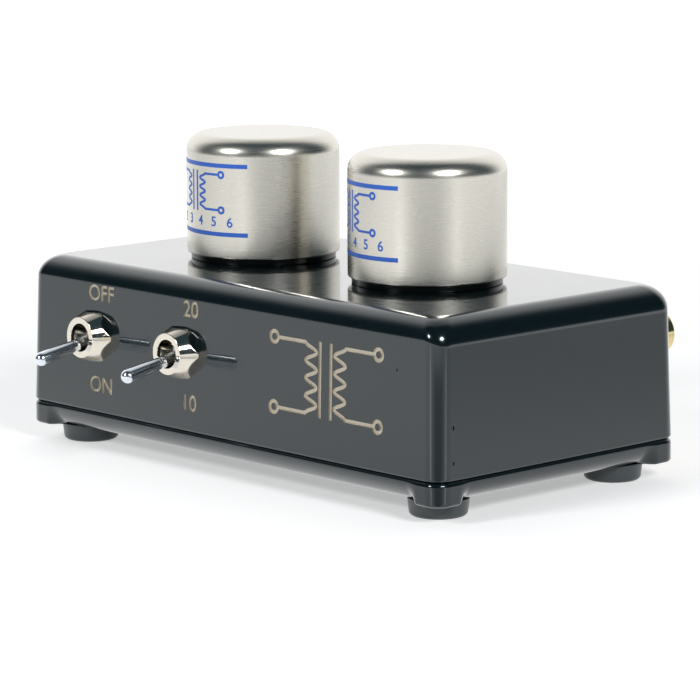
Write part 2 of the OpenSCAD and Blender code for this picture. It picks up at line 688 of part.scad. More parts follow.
module jack_contact(x) color(gold) on_back(x, jack_z) difference() {
  union() {
    translate([0, 0, socket_end_z]) cylinder(d = socket_tube_d, h = insulator_front_z - socket_end_z);
    translate([0, 0, socket_end_z - tail_l]) cylinder(d = tail_d, h = tail_l + socket_spare);
  }
  translate([0, 0, insulator_front_z - socket_depth]) cylinder(d = socket_d, h = socket_depth + past);
}

module jack_washers() color("#2b2622") for (x = jack_places) on_back(x, jack_z) {
  difference() {
    union() {
      cylinder(d = jack_washer_d, h = jack_washer_t);
      translate([0, 0, fit_gap - wall])
        cylinder(d = jack_sleeve_d, h = wall - fit_gap + jack_washer_t / 2);
    }
    translate([0, 0, -wall - past]) cylinder(d = jack_bore_d, h = wall + jack_washer_t + 2 * past);
  }
  translate([0, 0, -wall - jack_washer_t]) ring(jack_washer_d, jack_bore_d, jack_washer_t);
}

// Solder tag: a ring under the nut with a lug that points down
module tag(ring_d, bore_d, reach)
  difference() {
    union() {
      cylinder(d = ring_d, h = tag_t);
      translate([-tag_w / 2, -reach + tag_w / 2, 0]) cube([tag_w, reach - tag_w / 2, tag_t]);
      translate([0, -reach + tag_w / 2, 0]) cylinder(d = tag_w, h = tag_t);
    }
    translate([0, 0, -past]) cylinder(d = bore_d, h = tag_t + 2 * past);
  }
module jack_tags() color("#d9c27a") for (x = jack_places)
  on_back(x, jack_z) translate([0, 0, jack_tag_z]) tag(tag_d, jack_bore_d, tag_reach);

module jack_nuts() color(gold) for (x = jack_places)
  on_back(x, jack_z) translate([0, 0, jack_nut_z]) hex_nut(jack_nut_af, jack_bore_d, jack_nut_t);

// Ground post
stud_tag_z = -wall - tag_t;
stud_nut_z = stud_tag_z - stud_nut_t;
stud_tag_d = stud_nut_af / cos(30);
stud_tag_reach = tag_reach - (tag_d - stud_tag_d) / 2;
clamp_z = stud_flange_t;
thumb_z = clamp_z + clamp_t;
module ground_post_stud() color(gold) on_back(0, jack_z) union() {
  translate([0, 0, stud_nut_z - stud_spare])
    cylinder(d = stud_d, h = stud_out - stud_nut_z + stud_spare);
  cylinder(d = stud_flange_d, h = stud_flange_t);
}

module ground_post_clamp_washer() color(gold) on_back(0, jack_z)
  translate([0, 0, clamp_z]) ring(clamp_d, stud_d + 2 * fit_gap, clamp_t);

module ground_post_thumb_nut() color(gold) on_back(0, jack_z) translate([0, 0, thumb_z]) difference() {
  ring(thumb_d, stud_d + 2 * fit_gap, thumb_h);
  for (i = [1:thumb_flutes])
    rotate(360 * i / thumb_flutes) translate([thumb_d / 2, 0, -past])
      cylinder(d = flute_d, h = thumb_h + 2 * past);
}

module ground_post_tag() color("#d9c27a") on_back(0, jack_z)
  translate([0, 0, stud_tag_z]) tag(stud_tag_d, stud_d + 2 * fit_gap, stud_tag_reach);

module ground_post_nut() color(gold) on_back(0, jack_z)
  translate([0, 0, stud_nut_z]) hex_nut(stud_nut_af, stud_d + 2 * fit_gap, stud_nut_t);

// Wiring. A wire's ends follow the pieces that it joins, and its middle points are
// chosen by hand, from the middle of the box at the seam.
solder_gap = 2 * fit_gap;
function in_box(x, y, h) = [x, box_y + y, seam_z + h];
function tail_end(x) =
  [for (extra = [wire_run, 0]) back_point(x, jack_z, 0, tail_l - socket_end_z + solder_gap + extra)];
function lug_end(x) =
  [for (extra = [wire_run, 0])
    back_point(x, jack_z, tag_w / 2 - tag_reach, solder_gap - jack_tag_z + extra)];
function blade_end(x, up) =
  [for (extra = [0, wire_run]) front_point(x, switch_z, up, solder_gap - terminal_end_z + extra)];
passage = wire_d + 2 * solder_gap;
lead_out = core_t / 2 + winding_outer;
lead_turn = lead_out + 2 * solder_gap + 1.5 * wire_d;
lead_high_z = bobbin_z + bobbin_wall + 2 * wire_d;
lead_low_z = disc_top_z + pad_h / 2;
function lead_start(side, px, py) =
  let (x = side * can_pitch / 2, sy = py < 0 ? -1 : 1)
  let (out_x = x + lead_spread / 2 * px, neck_x = x + passage * px, neck_y = box_y + passage * py)
  [[out_x, box_y + sy * (lead_out + solder_gap), lead_high_z],
   [out_x, box_y + sy * lead_turn, lead_high_z],
   [out_x, box_y + sy * lead_turn, lead_low_z],
   [neck_x, neck_y, lead_low_z],
   [neck_x, neck_y, disc_top_z - disc_t / 2],
   [neck_x, neck_y, neck_end_z],
   [neck_x, neck_y, neck_end_z - wire_run]];
gain_left_x = gain_switch_x - pole_pitch / 2;
gain_right_x = gain_switch_x + pole_pitch / 2;
function backwards(p) = [for (i = [len(p) - 1:-1:0]) p[i]];

module left_leads() color("#b8352b") {
  wire(concat(lead_start(-1, -1, 1), [in_box(-25, 4, 15.5), in_box(-36, 8, 14)],
    tail_end(-outer_jack_x)));
  wire(concat(lead_start(-1, 1, 1), [in_box(-21.5, 5, 12), in_box(-32, 13, 8)],
    lug_end(-outer_jack_x)));
  wire(concat(lead_start(-1, 1, -1), [in_box(-18, -4.5, 18)],
    backwards(blade_end(gain_left_x, terminal_pitch))));
  wire(concat(lead_start(-1, -1, -1), [in_box(-23, -4, 13)],
    backwards(blade_end(gain_left_x, -terminal_pitch))));
  wire(concat(lead_start(-1, 0, 0), [in_box(-19.5, 1.5, 15), in_box(-8, 9, 10.5), in_box(8, 18, 10.5)],
    lug_end(inner_jack_x)));
}

module right_leads() color("#b8352b") {
  wire(concat(lead_start(1, -1, 1), [in_box(15, 5, 17.5), in_box(-10, 9, 16.5)],
    tail_end(-inner_jack_x)));
  wire(concat(lead_start(1, 1, 1),
    [in_box(22.5, 5, 11), in_box(0, 14, 7.5), in_box(-14, 19, 7.5)], lug_end(-inner_jack_x)));
  wire(concat(lead_start(1, -1, -1), [in_box(17, -4.5, 18), in_box(2, -6, 18.8)],
    backwards(blade_end(gain_right_x, terminal_pitch))));
  wire(concat(lead_start(1, 1, -1), [in_box(22, -4, 12), in_box(4, -6, 9.8)],
    backwards(blade_end(gain_right_x, -terminal_pitch))));
  wire(concat(lead_start(1, 0, 0), [in_box(24, 1, 14), in_box(32, 11, 9)], lug_end(outer_jack_x)));
}

module output_wires() color("#e4e2da") {
  wire(concat(blade_end(gain_left_x, 0), [in_box(0, 2, 13), in_box(14, 9, 14)],
    tail_end(inner_jack_x)));
  wire(concat(blade_end(gain_right_x, 0),
    [in_box(4, -1, 9), in_box(20, 2, 6.5), in_box(34, 8, 10)], tail_end(outer_jack_x)));
}

module ground_wire() color("#2f6b3c")
  wire(concat(
    [for (extra = [0, wire_run])
      back_point(0, jack_z, tag_w / 2 - stud_tag_reach, solder_gap - stud_tag_z + extra)],
    [in_box(-12, 17, 3.5), in_box(-28, 4, 3.5), in_box(-36, -5, 11)],
    backwards(blade_end(ground_switch_x, 0))));

chassis_box();
base_lid();
lid_screws();
rubber_feet();
can(-1);  // left_can
gasket(-1);  // left_gasket
base_disc(-1);  // left_base_disc
core(-1);  // left_core
bobbin(-1);  // left_bobbin
winding(-1);  // left_winding
neck_washer(-1);  // left_neck_washer
neck_nut(-1);  // left_neck_nut
left_leads();
can(1);  // right_can
gasket(1);  // right_gasket
base_disc(1);  // right_base_disc
core(1);  // right_core
bobbin(1);  // right_bobbin
winding(1);  // right_winding
neck_washer(1);  // right_neck_washer
neck_nut(1);  // right_neck_nut
right_leads();
switch_bushing(ground_switch_x, ground_case_w);  // ground_switch_bushing
switch_case(ground_switch_x, ground_case_w, one_pole);  // ground_switch_case
lever(ground_switch_x, ground_bar_l);  // ground_switch_lever
rockers(ground_switch_x, one_pole);  // ground_switch_rocker
dress_nut(ground_switch_x);  // ground_switch_dress_nut
back_nut(ground_switch_x);  // ground_switch_back_nut
terminals(ground_switch_x, one_pole);  // ground_switch_terminals
switch_bushing(gain_switch_x, gain_case_w);  // gain_switch_bushing
switch_case(gain_switch_x, gain_case_w, two_poles);  // gain_switch_case
lever(gain_switch_x, gain_bar_l);  // gain_switch_lever
rockers(gain_switch_x, two_poles);  // gain_switch_rockers
dress_nut(gain_switch_x);  // gain_switch_dress_nut
back_nut(gain_switch_x);  // gain_switch_back_nut
terminals(gain_switch_x, two_poles);  // gain_switch_terminals
jack_shell(-outer_jack_x);  // left_input_shell
jack_insulator(-outer_jack_x);  // left_input_insulator
jack_contact(-outer_jack_x);  // left_input_contact
jack_shell(-inner_jack_x);  // right_input_shell
jack_insulator(-inner_jack_x);  // right_input_insulator
jack_contact(-inner_jack_x);  // right_input_contact
jack_shell(inner_jack_x);  // left_output_shell
jack_insulator(inner_jack_x);  // left_output_insulator
jack_contact(inner_jack_x);  // left_output_contact
jack_shell(outer_jack_x);  // right_output_shell
jack_insulator(outer_jack_x);  // right_output_insulator
jack_contact(outer_jack_x);  // right_output_contact
jack_washers();
jack_tags();
jack_nuts();
ground_post_stud();
ground_post_clamp_washer();
ground_post_thumb_nut();
ground_post_tag();
ground_post_nut();
output_wires();
ground_wire();
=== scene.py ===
import json
import math

import bmesh
import bpy
import numpy as np
from mathutils import Matrix, Vector


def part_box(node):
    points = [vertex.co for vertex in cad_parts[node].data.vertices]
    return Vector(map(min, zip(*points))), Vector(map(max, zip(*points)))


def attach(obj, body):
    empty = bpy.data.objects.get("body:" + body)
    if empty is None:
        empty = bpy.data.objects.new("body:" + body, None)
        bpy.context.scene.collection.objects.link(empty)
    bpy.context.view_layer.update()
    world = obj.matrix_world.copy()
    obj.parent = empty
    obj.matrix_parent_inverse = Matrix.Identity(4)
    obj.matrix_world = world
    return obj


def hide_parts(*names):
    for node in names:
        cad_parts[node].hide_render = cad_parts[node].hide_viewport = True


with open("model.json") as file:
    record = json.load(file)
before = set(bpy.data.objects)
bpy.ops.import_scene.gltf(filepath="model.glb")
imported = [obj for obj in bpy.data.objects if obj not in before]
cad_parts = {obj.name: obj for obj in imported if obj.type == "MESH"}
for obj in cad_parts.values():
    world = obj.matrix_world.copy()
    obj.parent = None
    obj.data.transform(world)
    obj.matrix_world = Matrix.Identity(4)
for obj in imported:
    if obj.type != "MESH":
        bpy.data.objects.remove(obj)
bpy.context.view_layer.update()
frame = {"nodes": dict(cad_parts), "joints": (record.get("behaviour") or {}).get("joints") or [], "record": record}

mm = 0.001  # the frame is in metres, sizes in this file are in millimetres
degree = math.radians(1)
nodes = frame["nodes"]
joints = {joint["name"]: joint for joint in frame["joints"]}
mounts = {mount["name"]: mount for mount in frame["record"]["mounts"]}


def boxOf(node):
    low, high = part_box(node)
    return np.array(low) / mm, np.array(high) / mm


# The middle of a node's lower face.
def footOf(node):
    low, high = boxOf(node)
    return np.array([(low[0] + high[0]) / 2, (low[1] + high[1]) / 2, low[2]])


# A grid of points becomes faces: rows run along the shape, columns go round it and meet.
# Open ends close on their middle point, and the faces are turned round if the volume is negative.
def skin(rows, loop=False):
    rowCount, columnCount = rows.shape[:2]
    index = np.arange(rowCount * columnCount).reshape(rowCount, columnCount)
    here = index if loop else index[:-1]
    after = np.roll(index, -1, 0) if loop else index[1:]
    quads = np.stack([here, np.roll(here, -1, 1), np.roll(after, -1, 1), after], -1).reshape(-1, 4)
    points = rows.reshape(-1, 3)
    tris = np.zeros((0, 3), int)
    if not loop:
        first, last = index[0], index[-1]
        start = np.full(columnCount, len(points))
        points = np.vstack([points, rows[0].mean(0), rows[-1].mean(0)])
        tris = np.vstack([np.stack([np.roll(first, -1), first, start], -1),
                          np.stack([last, np.roll(last, -1), start + 1], -1)])
    solid = np.vstack([tris, quads[:, [0, 1, 2]], quads[:, [0, 2, 3]]])
    a, b, c = (points[solid[:, k]] for k in range(3))
    if np.einsum("ij,ij->i", a, np.cross(b, c)).sum() < 0:
        quads, tris = quads[:, ::-1], tris[:, ::-1]
    return points, quads.tolist() + tris.tolist()


# Lathe: every (radius, height) of the profile goes once round the Z axis.
def lathe(profile, sides):
    radius, height = np.asarray(profile, float).T
    turn = np.arange(sides) * 2 * np.pi / sides
    return np.stack([np.outer(radius, np.cos(turn)), np.outer(radius, np.sin(turn)),
                     np.repeat(height[:, None], sides, 1)], -1)


# Rounded outline: a corner (x, y, radius) becomes the arc that touches both of its sides, and a
# point just past each end of the arc keeps the flat beside it flat.
def rounded(corners, closed=False, steps=10, hold=0.03):
    spots = np.asarray(corners, float)
    count = len(spots)
    outline = []
    for k in range(count):
        spot, radius = spots[k, :2], spots[k, 2]
        if radius == 0 or (not closed and k in (0, count - 1)):
            outline.append(spot[None])
            continue
        before = spots[k - 1, :2] - spot
        after = spots[(k + 1) % count, :2] - spot
        before, after = before / np.linalg.norm(before), after / np.linalg.norm(after)
        half = math.acos(np.clip(before @ after, -1, 1)) / 2
        reach = radius / math.tan(half)
        middle = spot + (before + after) / np.linalg.norm(before + after) * radius / math.sin(half)
        sweep = math.pi - 2 * half
        share = np.linspace(0, 1, steps + 1)[:, None]
        arc = (np.sin((1 - share) * sweep) * (spot + before * reach - middle)
               + np.sin(share * sweep) * (spot + after * reach - middle)) / math.sin(sweep)
        outline += [spot[None] + before * (reach + hold), middle + arc,
                    spot[None] + after * (reach + hold)]
    return np.vstack(outline)


# Turned piece: a rounded outline on the lathe, either a closed ring or a solid that ends on its axis.
def turned(corners, sides=96, ring=False, steps=10):
    return skin(lathe(rounded(corners, ring, steps), sides), ring)


# Stroke: a flat band of the given width carried along a path in XY, between two heights.
def stroke(path, width, low, high, loop=False):
    path = np.asarray(path, float)
    way = np.roll(path, -1, 0) - np.roll(path, 1, 0) if loop else np.gradient(path, axis=0)
    way /= np.linalg.norm(way, axis=1)[:, None]
    side = np.stack([-way[:, 1], way[:, 0]], -1) * width / 2
    rows = [np.c_[path + sign * side, np.full(len(path), level)]
            for sign, level in ((1, high), (-1, high), (-1, low), (1, low))]
    return skin(np.stack(rows, 1), loop)


def finalMesh(holder):
    bpy.context.view_layer.update()
    return bpy.data.meshes.new_from_object(holder.evaluated_get(bpy.context.evaluated_depsgraph_get()))


# Numbers and words as solids: the text is made a mesh, with its doubles merged, and is a little bolder
# than the font, as an engraving cutter leaves it.
def lettering(body, height, depth, capShare=0.73, bolder=0.014):
    curve = bpy.data.curves.new("lettering", "FONT")
    curve.body = body
    curve.align_x = "CENTER"
    curve.align_y = "CENTER"
    curve.size = height / capShare
    curve.extrude = depth
    curve.resolution_u = 5
    curve.offset = bolder * curve.size
    holder = bpy.data.objects.new("lettering", curve)
    bpy.context.scene.collection.objects.link(holder)
    mesh = finalMesh(holder)
    work = bmesh.new()
    work.from_mesh(mesh)
    bmesh.ops.remove_doubles(work, verts=work.verts, dist=1e-4)
    bmesh.ops.recalc_face_normals(work, faces=work.faces)
    points = np.array([vert.co for vert in work.verts])
    faces = [[vert.index for vert in face.verts] for face in work.faces]
    work.free()
    bpy.data.objects.remove(holder)
    bpy.data.curves.remove(curve)
    bpy.data.meshes.remove(mesh)
    points[:, :2] -= (points[:, :2].max(0) + points[:, :2].min(0)) / 2
    return points, faces


# Moves a shell's points from a local frame to the object's frame.
def placed(shell, origin, axes=np.eye(3)):
    return shell[0] @ np.asarray(axes, float) + np.asarray(origin, float), shell[1]


# One mesh object from several shells, each with the number of its material.
def addPiece(name, shells, materials, body, stands=(), crease=32):
    points = np.vstack([shell[0] for shell in shells])
    starts = np.cumsum([0] + [len(shell[0]) for shell in shells])
    faces = [[start + corner for corner in face] for start, shell in zip(starts, shells) for face in shell[1]]
    numbers = [shell[2] if len(shell) > 2 else 0 for shell in shells for face in shell[1]]
    mesh = bpy.data.meshes.new(name)
    mesh.from_pydata((points * mm).tolist(), [], faces)
    for material in materials:
        mesh.materials.append(material)
    mesh.polygons.foreach_set("material_index", numbers)
    mesh.shade_smooth()
    mesh.set_sharp_from_angle(angle=crease * degree)
    mesh.update()
    piece = bpy.data.objects.new(name, mesh)
    bpy.context.scene.collection.objects.link(piece)
    if body:
        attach(piece, body)
    if stands:
        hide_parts(*stands)
    return piece


# Cuts one piece by another one and keeps the result as its mesh.
def cutBy(piece, cutter, crease=32):
    cut = piece.modifiers.new("cut", "BOOLEAN")
    cut.operation = "DIFFERENCE"
    cut.solver = "EXACT"
    cut.use_self = True
    cut.material_mode = "TRANSFER"
    cut.object = cutter
    mesh = finalMesh(piece)
    piece.modifiers.clear()
    piece.data = mesh
    mesh.name = piece.name
    mesh.shade_smooth()
    mesh.set_sharp_from_angle(angle=crease * degree)
    bpy.data.objects.remove(cutter)


def linear(hexColour):
    parts = [int(hexColour[k:k + 2], 16) / 255 for k in (1, 3, 5)]
    return tuple(p / 12.92 if p <= 0.04045 else ((p + 0.055) / 1.055) ** 2.4 for p in parts) + (1.0,)


def perMetre(size):
    return 1 / (size * mm)  # noise scale for a pattern of this size in millimetres


# Fills a node's sockets: a node stands for its first live output, a socket is linked, the rest are values.
def feed(tree, node, inputs):
    for key, value in inputs.items():
        if isinstance(value, bpy.types.Node):
            value = next(output for output in value.outputs if output.enabled)
        if isinstance(value, bpy.types.NodeSocket):
            tree.links.new(value, node.inputs[key])
        else:
            node.inputs[key].default_value = value
    return node


def addNode(tree, kind, inputs, **settings):
    node = tree.nodes.new(kind)
    for key, value in settings.items():
        setattr(node, key, value)
    return feed(tree, node, inputs)


def newFinish(name, **sockets):
    material = bpy.data.materials.new(name)
    material.use_nodes = True
    tree = material.node_tree
    shader = tree.nodes["Principled BSDF"]
    feed(tree, shader, {key.replace("_", " "): value for key, value in sockets.items()})
    return material, tree, shader, tree.nodes.new("ShaderNodeTexCoord").outputs["Object"]


# One pattern gives both the tone, between two colours, and the gloss, between two roughnesses.
def tinted(tree, shader, pattern, dark, light, smooth, rough):
    tone = addNode(tree, "ShaderNodeMix", {0: pattern, 6: linear(dark), 7: linear(light)}, data_type="RGBA")
    gloss = addNode(tree, "ShaderNodeMapRange", {"Value": pattern, "To Min": smooth, "To Max": rough})
    feed(tree, shader, {"Base Color": tone, "Roughness": gloss})


# Gloss black powder coat on a die casting: mirror-like with faint orange peel and a few pinholes.
def glossPowderCoat():
    coat = {"deep": "#061114", "worn": "#081519", "sheen": "#dff6ff", "smooth": 0.16, "rough": 0.24,
            "cloud": 14.0, "peel": 2.2, "peelDepth": 0.0007,
            "pitSpacing": 9.0, "pitRadius": 0.3, "pitDepth": 0.12, "pitShare": 0.8}
    material, tree, shader, place = newFinish(
        "gloss_black_powder_coat", IOR=1.5, Specular_IOR_Level=0.3, Specular_Tint=linear(coat["sheen"]),
        Coat_Weight=1.0, Coat_Roughness=0.03, Coat_IOR=1.5)
    cloud, peel = (addNode(tree, "ShaderNodeTexNoise", {
        "Vector": place, "Scale": perMetre(coat[size]), "Detail": detail})
        for size, detail in (("cloud", 3.0), ("peel", 1.0)))
    tinted(tree, shader, cloud, coat["deep"], coat["worn"], coat["smooth"], coat["rough"])
    wave = addNode(tree, "ShaderNodeBump", {"Distance": coat["peelDepth"] * mm, "Height": peel})
    pits = addNode(tree, "ShaderNodeTexVoronoi", {"Vector": place, "Scale": perMetre(coat["pitSpacing"])})
    radius = coat["pitRadius"] / coat["pitSpacing"]
    hole = addNode(tree, "ShaderNodeMapRange", {"Value": pits, "From Min": radius, "From Max": radius / 2})
    lot = addNode(tree, "ShaderNodeSeparateColor", {"Color": pits.outputs["Color"]})
    chosen = addNode(tree, "ShaderNodeMath", {0: lot, 1: coat["pitShare"]}, operation="GREATER_THAN")
    pit = addNode(tree, "ShaderNodeMath", {0: hole, 1: chosen}, operation="MULTIPLY")
    dent = addNode(tree, "ShaderNodeBump", {
        "Distance": coat["pitDepth"] * mm, "Height": pit, "Normal": wave}, invert=True)
    feed(tree, shader, {"Normal": dent, "Coat Normal": dent})
    return material


# Deep drawn shielding can with satin nickel: warm grey metal, faint lines round its wall, fine grain.
# Lines and grain are drawn coarser than the real 0.1 mm, to show.
def satinNickel():
    plate = {"light": "#dddad1", "dark": "#d3cfc5", "smooth": 0.24, "rough": 0.32, "streak": 0.4,
             "streakLength": 7.0, "streakDepth": 0.0006, "grain": 0.3, "grainDepth": 0.0045}
    material, tree, shader, place = newFinish("satin_nickel_on_drawn_can", Metallic=1.0)
    around = perMetre(plate["streakLength"])
    wall = addNode(tree, "ShaderNodeMapping", {
        "Vector": place, "Scale": (around, around, perMetre(plate["streak"]))})
    streak = addNode(tree, "ShaderNodeTexNoise", {"Vector": wall, "Scale": 1.0, "Detail": 2.0})
    grain = addNode(tree, "ShaderNodeTexNoise", {
        "Vector": place, "Scale": perMetre(plate["grain"]), "Detail": 2.0})
    tinted(tree, shader, streak, plate["dark"], plate["light"], plate["smooth"], plate["rough"])
    lines = addNode(tree, "ShaderNodeBump", {"Distance": plate["streakDepth"] * mm, "Height": streak})
    fine = addNode(tree, "ShaderNodeBump", {
        "Distance": plate["grainDepth"] * mm, "Height": grain, "Normal": lines})
    feed(tree, shader, {"Normal": fine})
    return material


# Plated or bare metal: a colour that clouds a little, and marks that run along one direction.
def metalFinish(name, light, dark, roughness, mark=0.6, markLength=0.6, depth=0.001, cloud=3.0, vary=0.25):
    material, tree, shader, place = newFinish(name, Metallic=1.0)
    spread = addNode(tree, "ShaderNodeTexNoise", {"Vector": place, "Scale": perMetre(cloud), "Detail": 3.0})
    tinted(tree, shader, spread, dark, light, roughness * (1 - vary), roughness * (1 + vary))
    along = addNode(tree, "ShaderNodeMapping", {
        "Vector": place, "Scale": (perMetre(markLength), perMetre(mark), perMetre(mark))})
    marks = addNode(tree, "ShaderNodeTexNoise", {"Vector": along, "Scale": 1.0, "Detail": 2.0})
    bump = addNode(tree, "ShaderNodeBump", {"Distance": depth * mm, "Height": marks})
    feed(tree, shader, {"Normal": bump})
    return material


# Moulded or drawn plastic and rubber: a colour that varies a little over a fine pebbled skin.
def mouldedFinish(name, light, dark, roughness, grain=0.5, depth=0.006, ior=1.5, cloud=4.0, vary=0.15):
    material, tree, shader, place = newFinish(name, IOR=ior)
    spread = addNode(tree, "ShaderNodeTexNoise", {"Vector": place, "Scale": perMetre(cloud), "Detail": 4.0})
    tinted(tree, shader, spread, dark, light, roughness * (1 - vary), roughness * (1 + vary))
    pebbles = addNode(tree, "ShaderNodeTexNoise", {"Vector": place, "Scale": perMetre(grain), "Detail": 2.0})
    bump = addNode(tree, "ShaderNodeBump", {"Distance": depth * mm, "Height": pebbles})
    feed(tree, shader, {"Normal": bump})
    return material


# Enamelled copper magnet wire laid in turns: thin rings stacked along Z, with painted shade as dark lines in the
# grooves between them.
# The wave texture makes 20 radians of a unit, so a ring shows every 2 pi lengths, coarser than the wire.
def magnetWire():
    wire = {"light": "#b5652b", "dark": "#5a2a12", "length": 0.45, "waveRadians": 20, "depth": 0.05}
    material, tree, shader, place = newFinish("enamelled_copper_magnet_wire", Metallic=1.0, Roughness=0.3,
                                              Coat_Weight=0.6, Coat_Roughness=0.1)
    turnsAndGrooveShade = addNode(tree, "ShaderNodeTexWave", {
        "Vector": place, "Scale": perMetre(wire["length"]) / wire["waveRadians"], "Distortion": 0.4,
        "Detail": 1.0}, bands_direction="Z").outputs["Fac"]
    # the dark tone between turns is painted shade in the grooves
    tone = addNode(tree, "ShaderNodeMix", {0: turnsAndGrooveShade, 6: linear(wire["dark"]), 7: linear(wire["light"])},
                   data_type="RGBA")
    bump = addNode(tree, "ShaderNodeBump", {"Distance": wire["depth"] * mm, "Height": turnsAndGrooveShade})
    feed(tree, shader, {"Base Color": tone, "Normal": bump})
    return material


blackCoat = glossPowderCoat()
canNickel = satinNickel()
bareCasting = metalFinish("bare_cast_aluminium", "#ddd5c6", "#c2b9a8", 0.6, mark=0.35, markLength=1.5,
                          depth=0.006)
chromePlate = metalFinish("bright_chrome_plate", "#eef3fa", "#e3e9f2", 0.2, depth=0.0004)
nickelPlate = metalFinish("bright_nickel_plate", "#ebe4d8", "#e0d8ca", 0.09, depth=0.0006)
goldPlate = metalFinish("bright_gold_plate", "#efdaa2", "#e5cc90", 0.16, depth=0.001)
mouldedRubber = mouldedFinish("moulded_black_rubber", "#4d5456", "#41484a", 0.36, grain=0.7, depth=0.008)
gasketRubber = mouldedFinish("glossy_neoprene_gasket", "#0c0d0e", "#08090a", 0.09, grain=0.9, depth=0.002)
blueInk = mouldedFinish("blue_screen_print_ink", "#2f6cd6", "#2560c4", 0.38, grain=0.6, depth=0.002)
whitePtfe = mouldedFinish("white_turned_ptfe", "#efede7", "#e3e0d8", 0.35, depth=0.003, ior=1.36)
fibreWasher = mouldedFinish("black_fibre_washer", "#2f2a26", "#221e1b", 0.6, grain=0.4, depth=0.01)
print("finishes ready")


# Painted box: a rounded rectangle whose inset grows with height by the casting draft, turns over the top
# edge on an arc, and comes back up inside as the cavity.
boxLow, boxHigh = boxOf("chassis_box")
boxSize, boxMiddle = boxHigh - boxLow, footOf("chassis_box")
boxShape = {"draft": 1.5 * degree, "corner": 3.2, "topEdge": 4.0, "rimEdge": 0.5, "wall": 2.0, "topWall": 2.2,
            "endDrop": 1.0, "neckHoleD": 9.8, "hold": 0.06, "flat": 1.5, "steps": 24, "arcSteps": 28,
            "rimSteps": 7}
boxSlope = math.tan(boxShape["draft"])
cornerSigns = ((1, 1), (-1, 1), (-1, -1), (1, -1))


# Columns of a rounded rectangle: quarter arcs about the four corners, with a point beside each arc's ends.
def cornerColumns(steps, hold):
    signs, rays, slides = [], [], []
    for k, sign in enumerate(cornerSigns):
        turn = np.radians(90 * k + np.concatenate([[0], np.linspace(0, 90, steps + 1), [90]]))
        slide = np.concatenate([[-hold], np.zeros(steps + 1), [hold]])
        signs.append(np.tile(sign, (len(turn), 1)))
        rays.append(np.stack([np.cos(turn), np.sin(turn)], -1))
        slides.append(np.stack([-np.sin(turn), np.cos(turn)], -1) * slide[:, None])
    return np.vstack(signs), np.vstack(rays), np.vstack(slides)


def paintedBox():
    s = boxShape
    signs, rays, slides = cornerColumns(s["steps"], s["hold"])

    # inset and height along the outside, from the top flat over the edge and down to the rim
    def wallLine(height, edge, start):
        arcZ = height - edge
        side = (arcZ + edge * math.sin(s["draft"])) * boxSlope + edge * math.cos(s["draft"])
        turn = np.linspace(math.pi / 2, s["draft"], s["arcSteps"])
        arc = np.stack([side - edge * np.cos(turn), arcZ + edge * np.sin(turn)], -1)
        flat = [[side + s["flat"], height], [side + s["hold"], height]]
        low = arc[-1, 1] - s["hold"]
        straight = np.array([low, (low + start) / 2, start])
        return np.vstack([flat, arc, np.stack([straight * boxSlope, straight], -1)])

    height, rim = boxSize[2], s["rimEdge"]
    outside = wallLine(height, s["topEdge"], rim + s["hold"])
    turn = np.linspace(0, math.pi / 2, s["rimSteps"])
    rimArc = np.stack([rim * (boxSlope + 1 - np.cos(turn)), rim * (1 - np.sin(turn))], -1)
    inside = wallLine(height - s["topWall"], s["topEdge"] - s["wall"], 0.0)[::-1]
    inside[:, 0] += s["wall"] / math.cos(s["draft"])
    line = np.vstack([outside, rimArc, inside])
    radius = np.full(len(line), s["corner"])
    radius[-len(inside):] -= s["wall"]
    # on the two ends the arc over the top edge is drawn out down the wall, so it starts lower there
    share = np.zeros(len(line))
    arcRows = slice(2, len(outside) - 3)
    share[arcRows] = (height - outside[arcRows, 1]) / (height - outside[-4, 1])
    share[len(outside) - 3] = 1.0
    drop = s["endDrop"] * share[:, None] * rays[None, :, 0] ** 2
    inset = line[:, :1] - drop * boxSlope + radius[:, None]
    half = boxSize[:2] / 2 - inset[..., None]
    plan = signs[None] * half + radius[:, None, None] * rays[None] + slides[None]
    level = line[:, 1:] - drop
    return skin(np.concatenate([plan, level[..., None]], -1) + boxMiddle)


# Puts a shell on a panel: its X runs across, its Y up and its Z straight out of the drafted wall.
outward = {"front": np.array([0, -1, 0]), "back": np.array([0, 1, 0]), "side": np.array([1, 0, 0])}
upward = np.array([0, 0, 1])


def onPanel(shell, panel, along, height):
    out = outward[panel]
    sideways = np.cross(upward, out)
    sine, cosine = math.sin(boxShape["draft"]), math.cos(boxShape["draft"])
    axes = [sideways, cosine * upward - sine * out, cosine * out + sine * upward]
    reach = abs(out) @ boxSize / 2 - height * boxSlope
    return placed(shell, boxMiddle + out * reach + abs(sideways) * along + height * upward, axes)


# Toggle places come from their joints, jack places from their mounts.
toggle = {"height": 14.4, "holeD": 6.65}
toggleX = {name: joints[name + "_switch_throw"]["pos_m"][0] / mm for name in ("ground", "gain")}
jack = {"height": 16.0, "holeD": 9.7, "washerT": 0.8, "flangeD": 11.4, "flangeT": 1.7, "neckD": 7.9,
        "neckEnd": -7.5, "barrelD": 8.3, "barrelL": 8.8, "boreD": 6.9, "insulatorD": 6.8, "play": 0.05,
        "recess": 0.4, "tubeD": 4.2, "tubeOut": 1.0, "socketD": 3.3, "socketL": 9.0, "drillTip": 0.4,
        "tailD": 2.0, "tailL": 4.0, "pole": 0.15, "slit": 0.45, "slitL": 5.0}
jackX = {name: mounts[name + "_barrel"]["pos_m"][0] / mm
         for name in ("left_input", "right_input", "left_output", "right_output")}
post = {"holeD": 4.3, "studD": 4.0, "studIn": 6.5, "studOut": 13.0, "flangeD": 9.0, "flangeT": 3.0,
        "clampD": 8.6, "clampT": 0.8, "thumbD": 9.6, "thumbH": 7.4, "flutes": 24, "fluteR": 0.35,
        "fluteSteps": 24, "boreD": 4.1, "pole": 0.2}

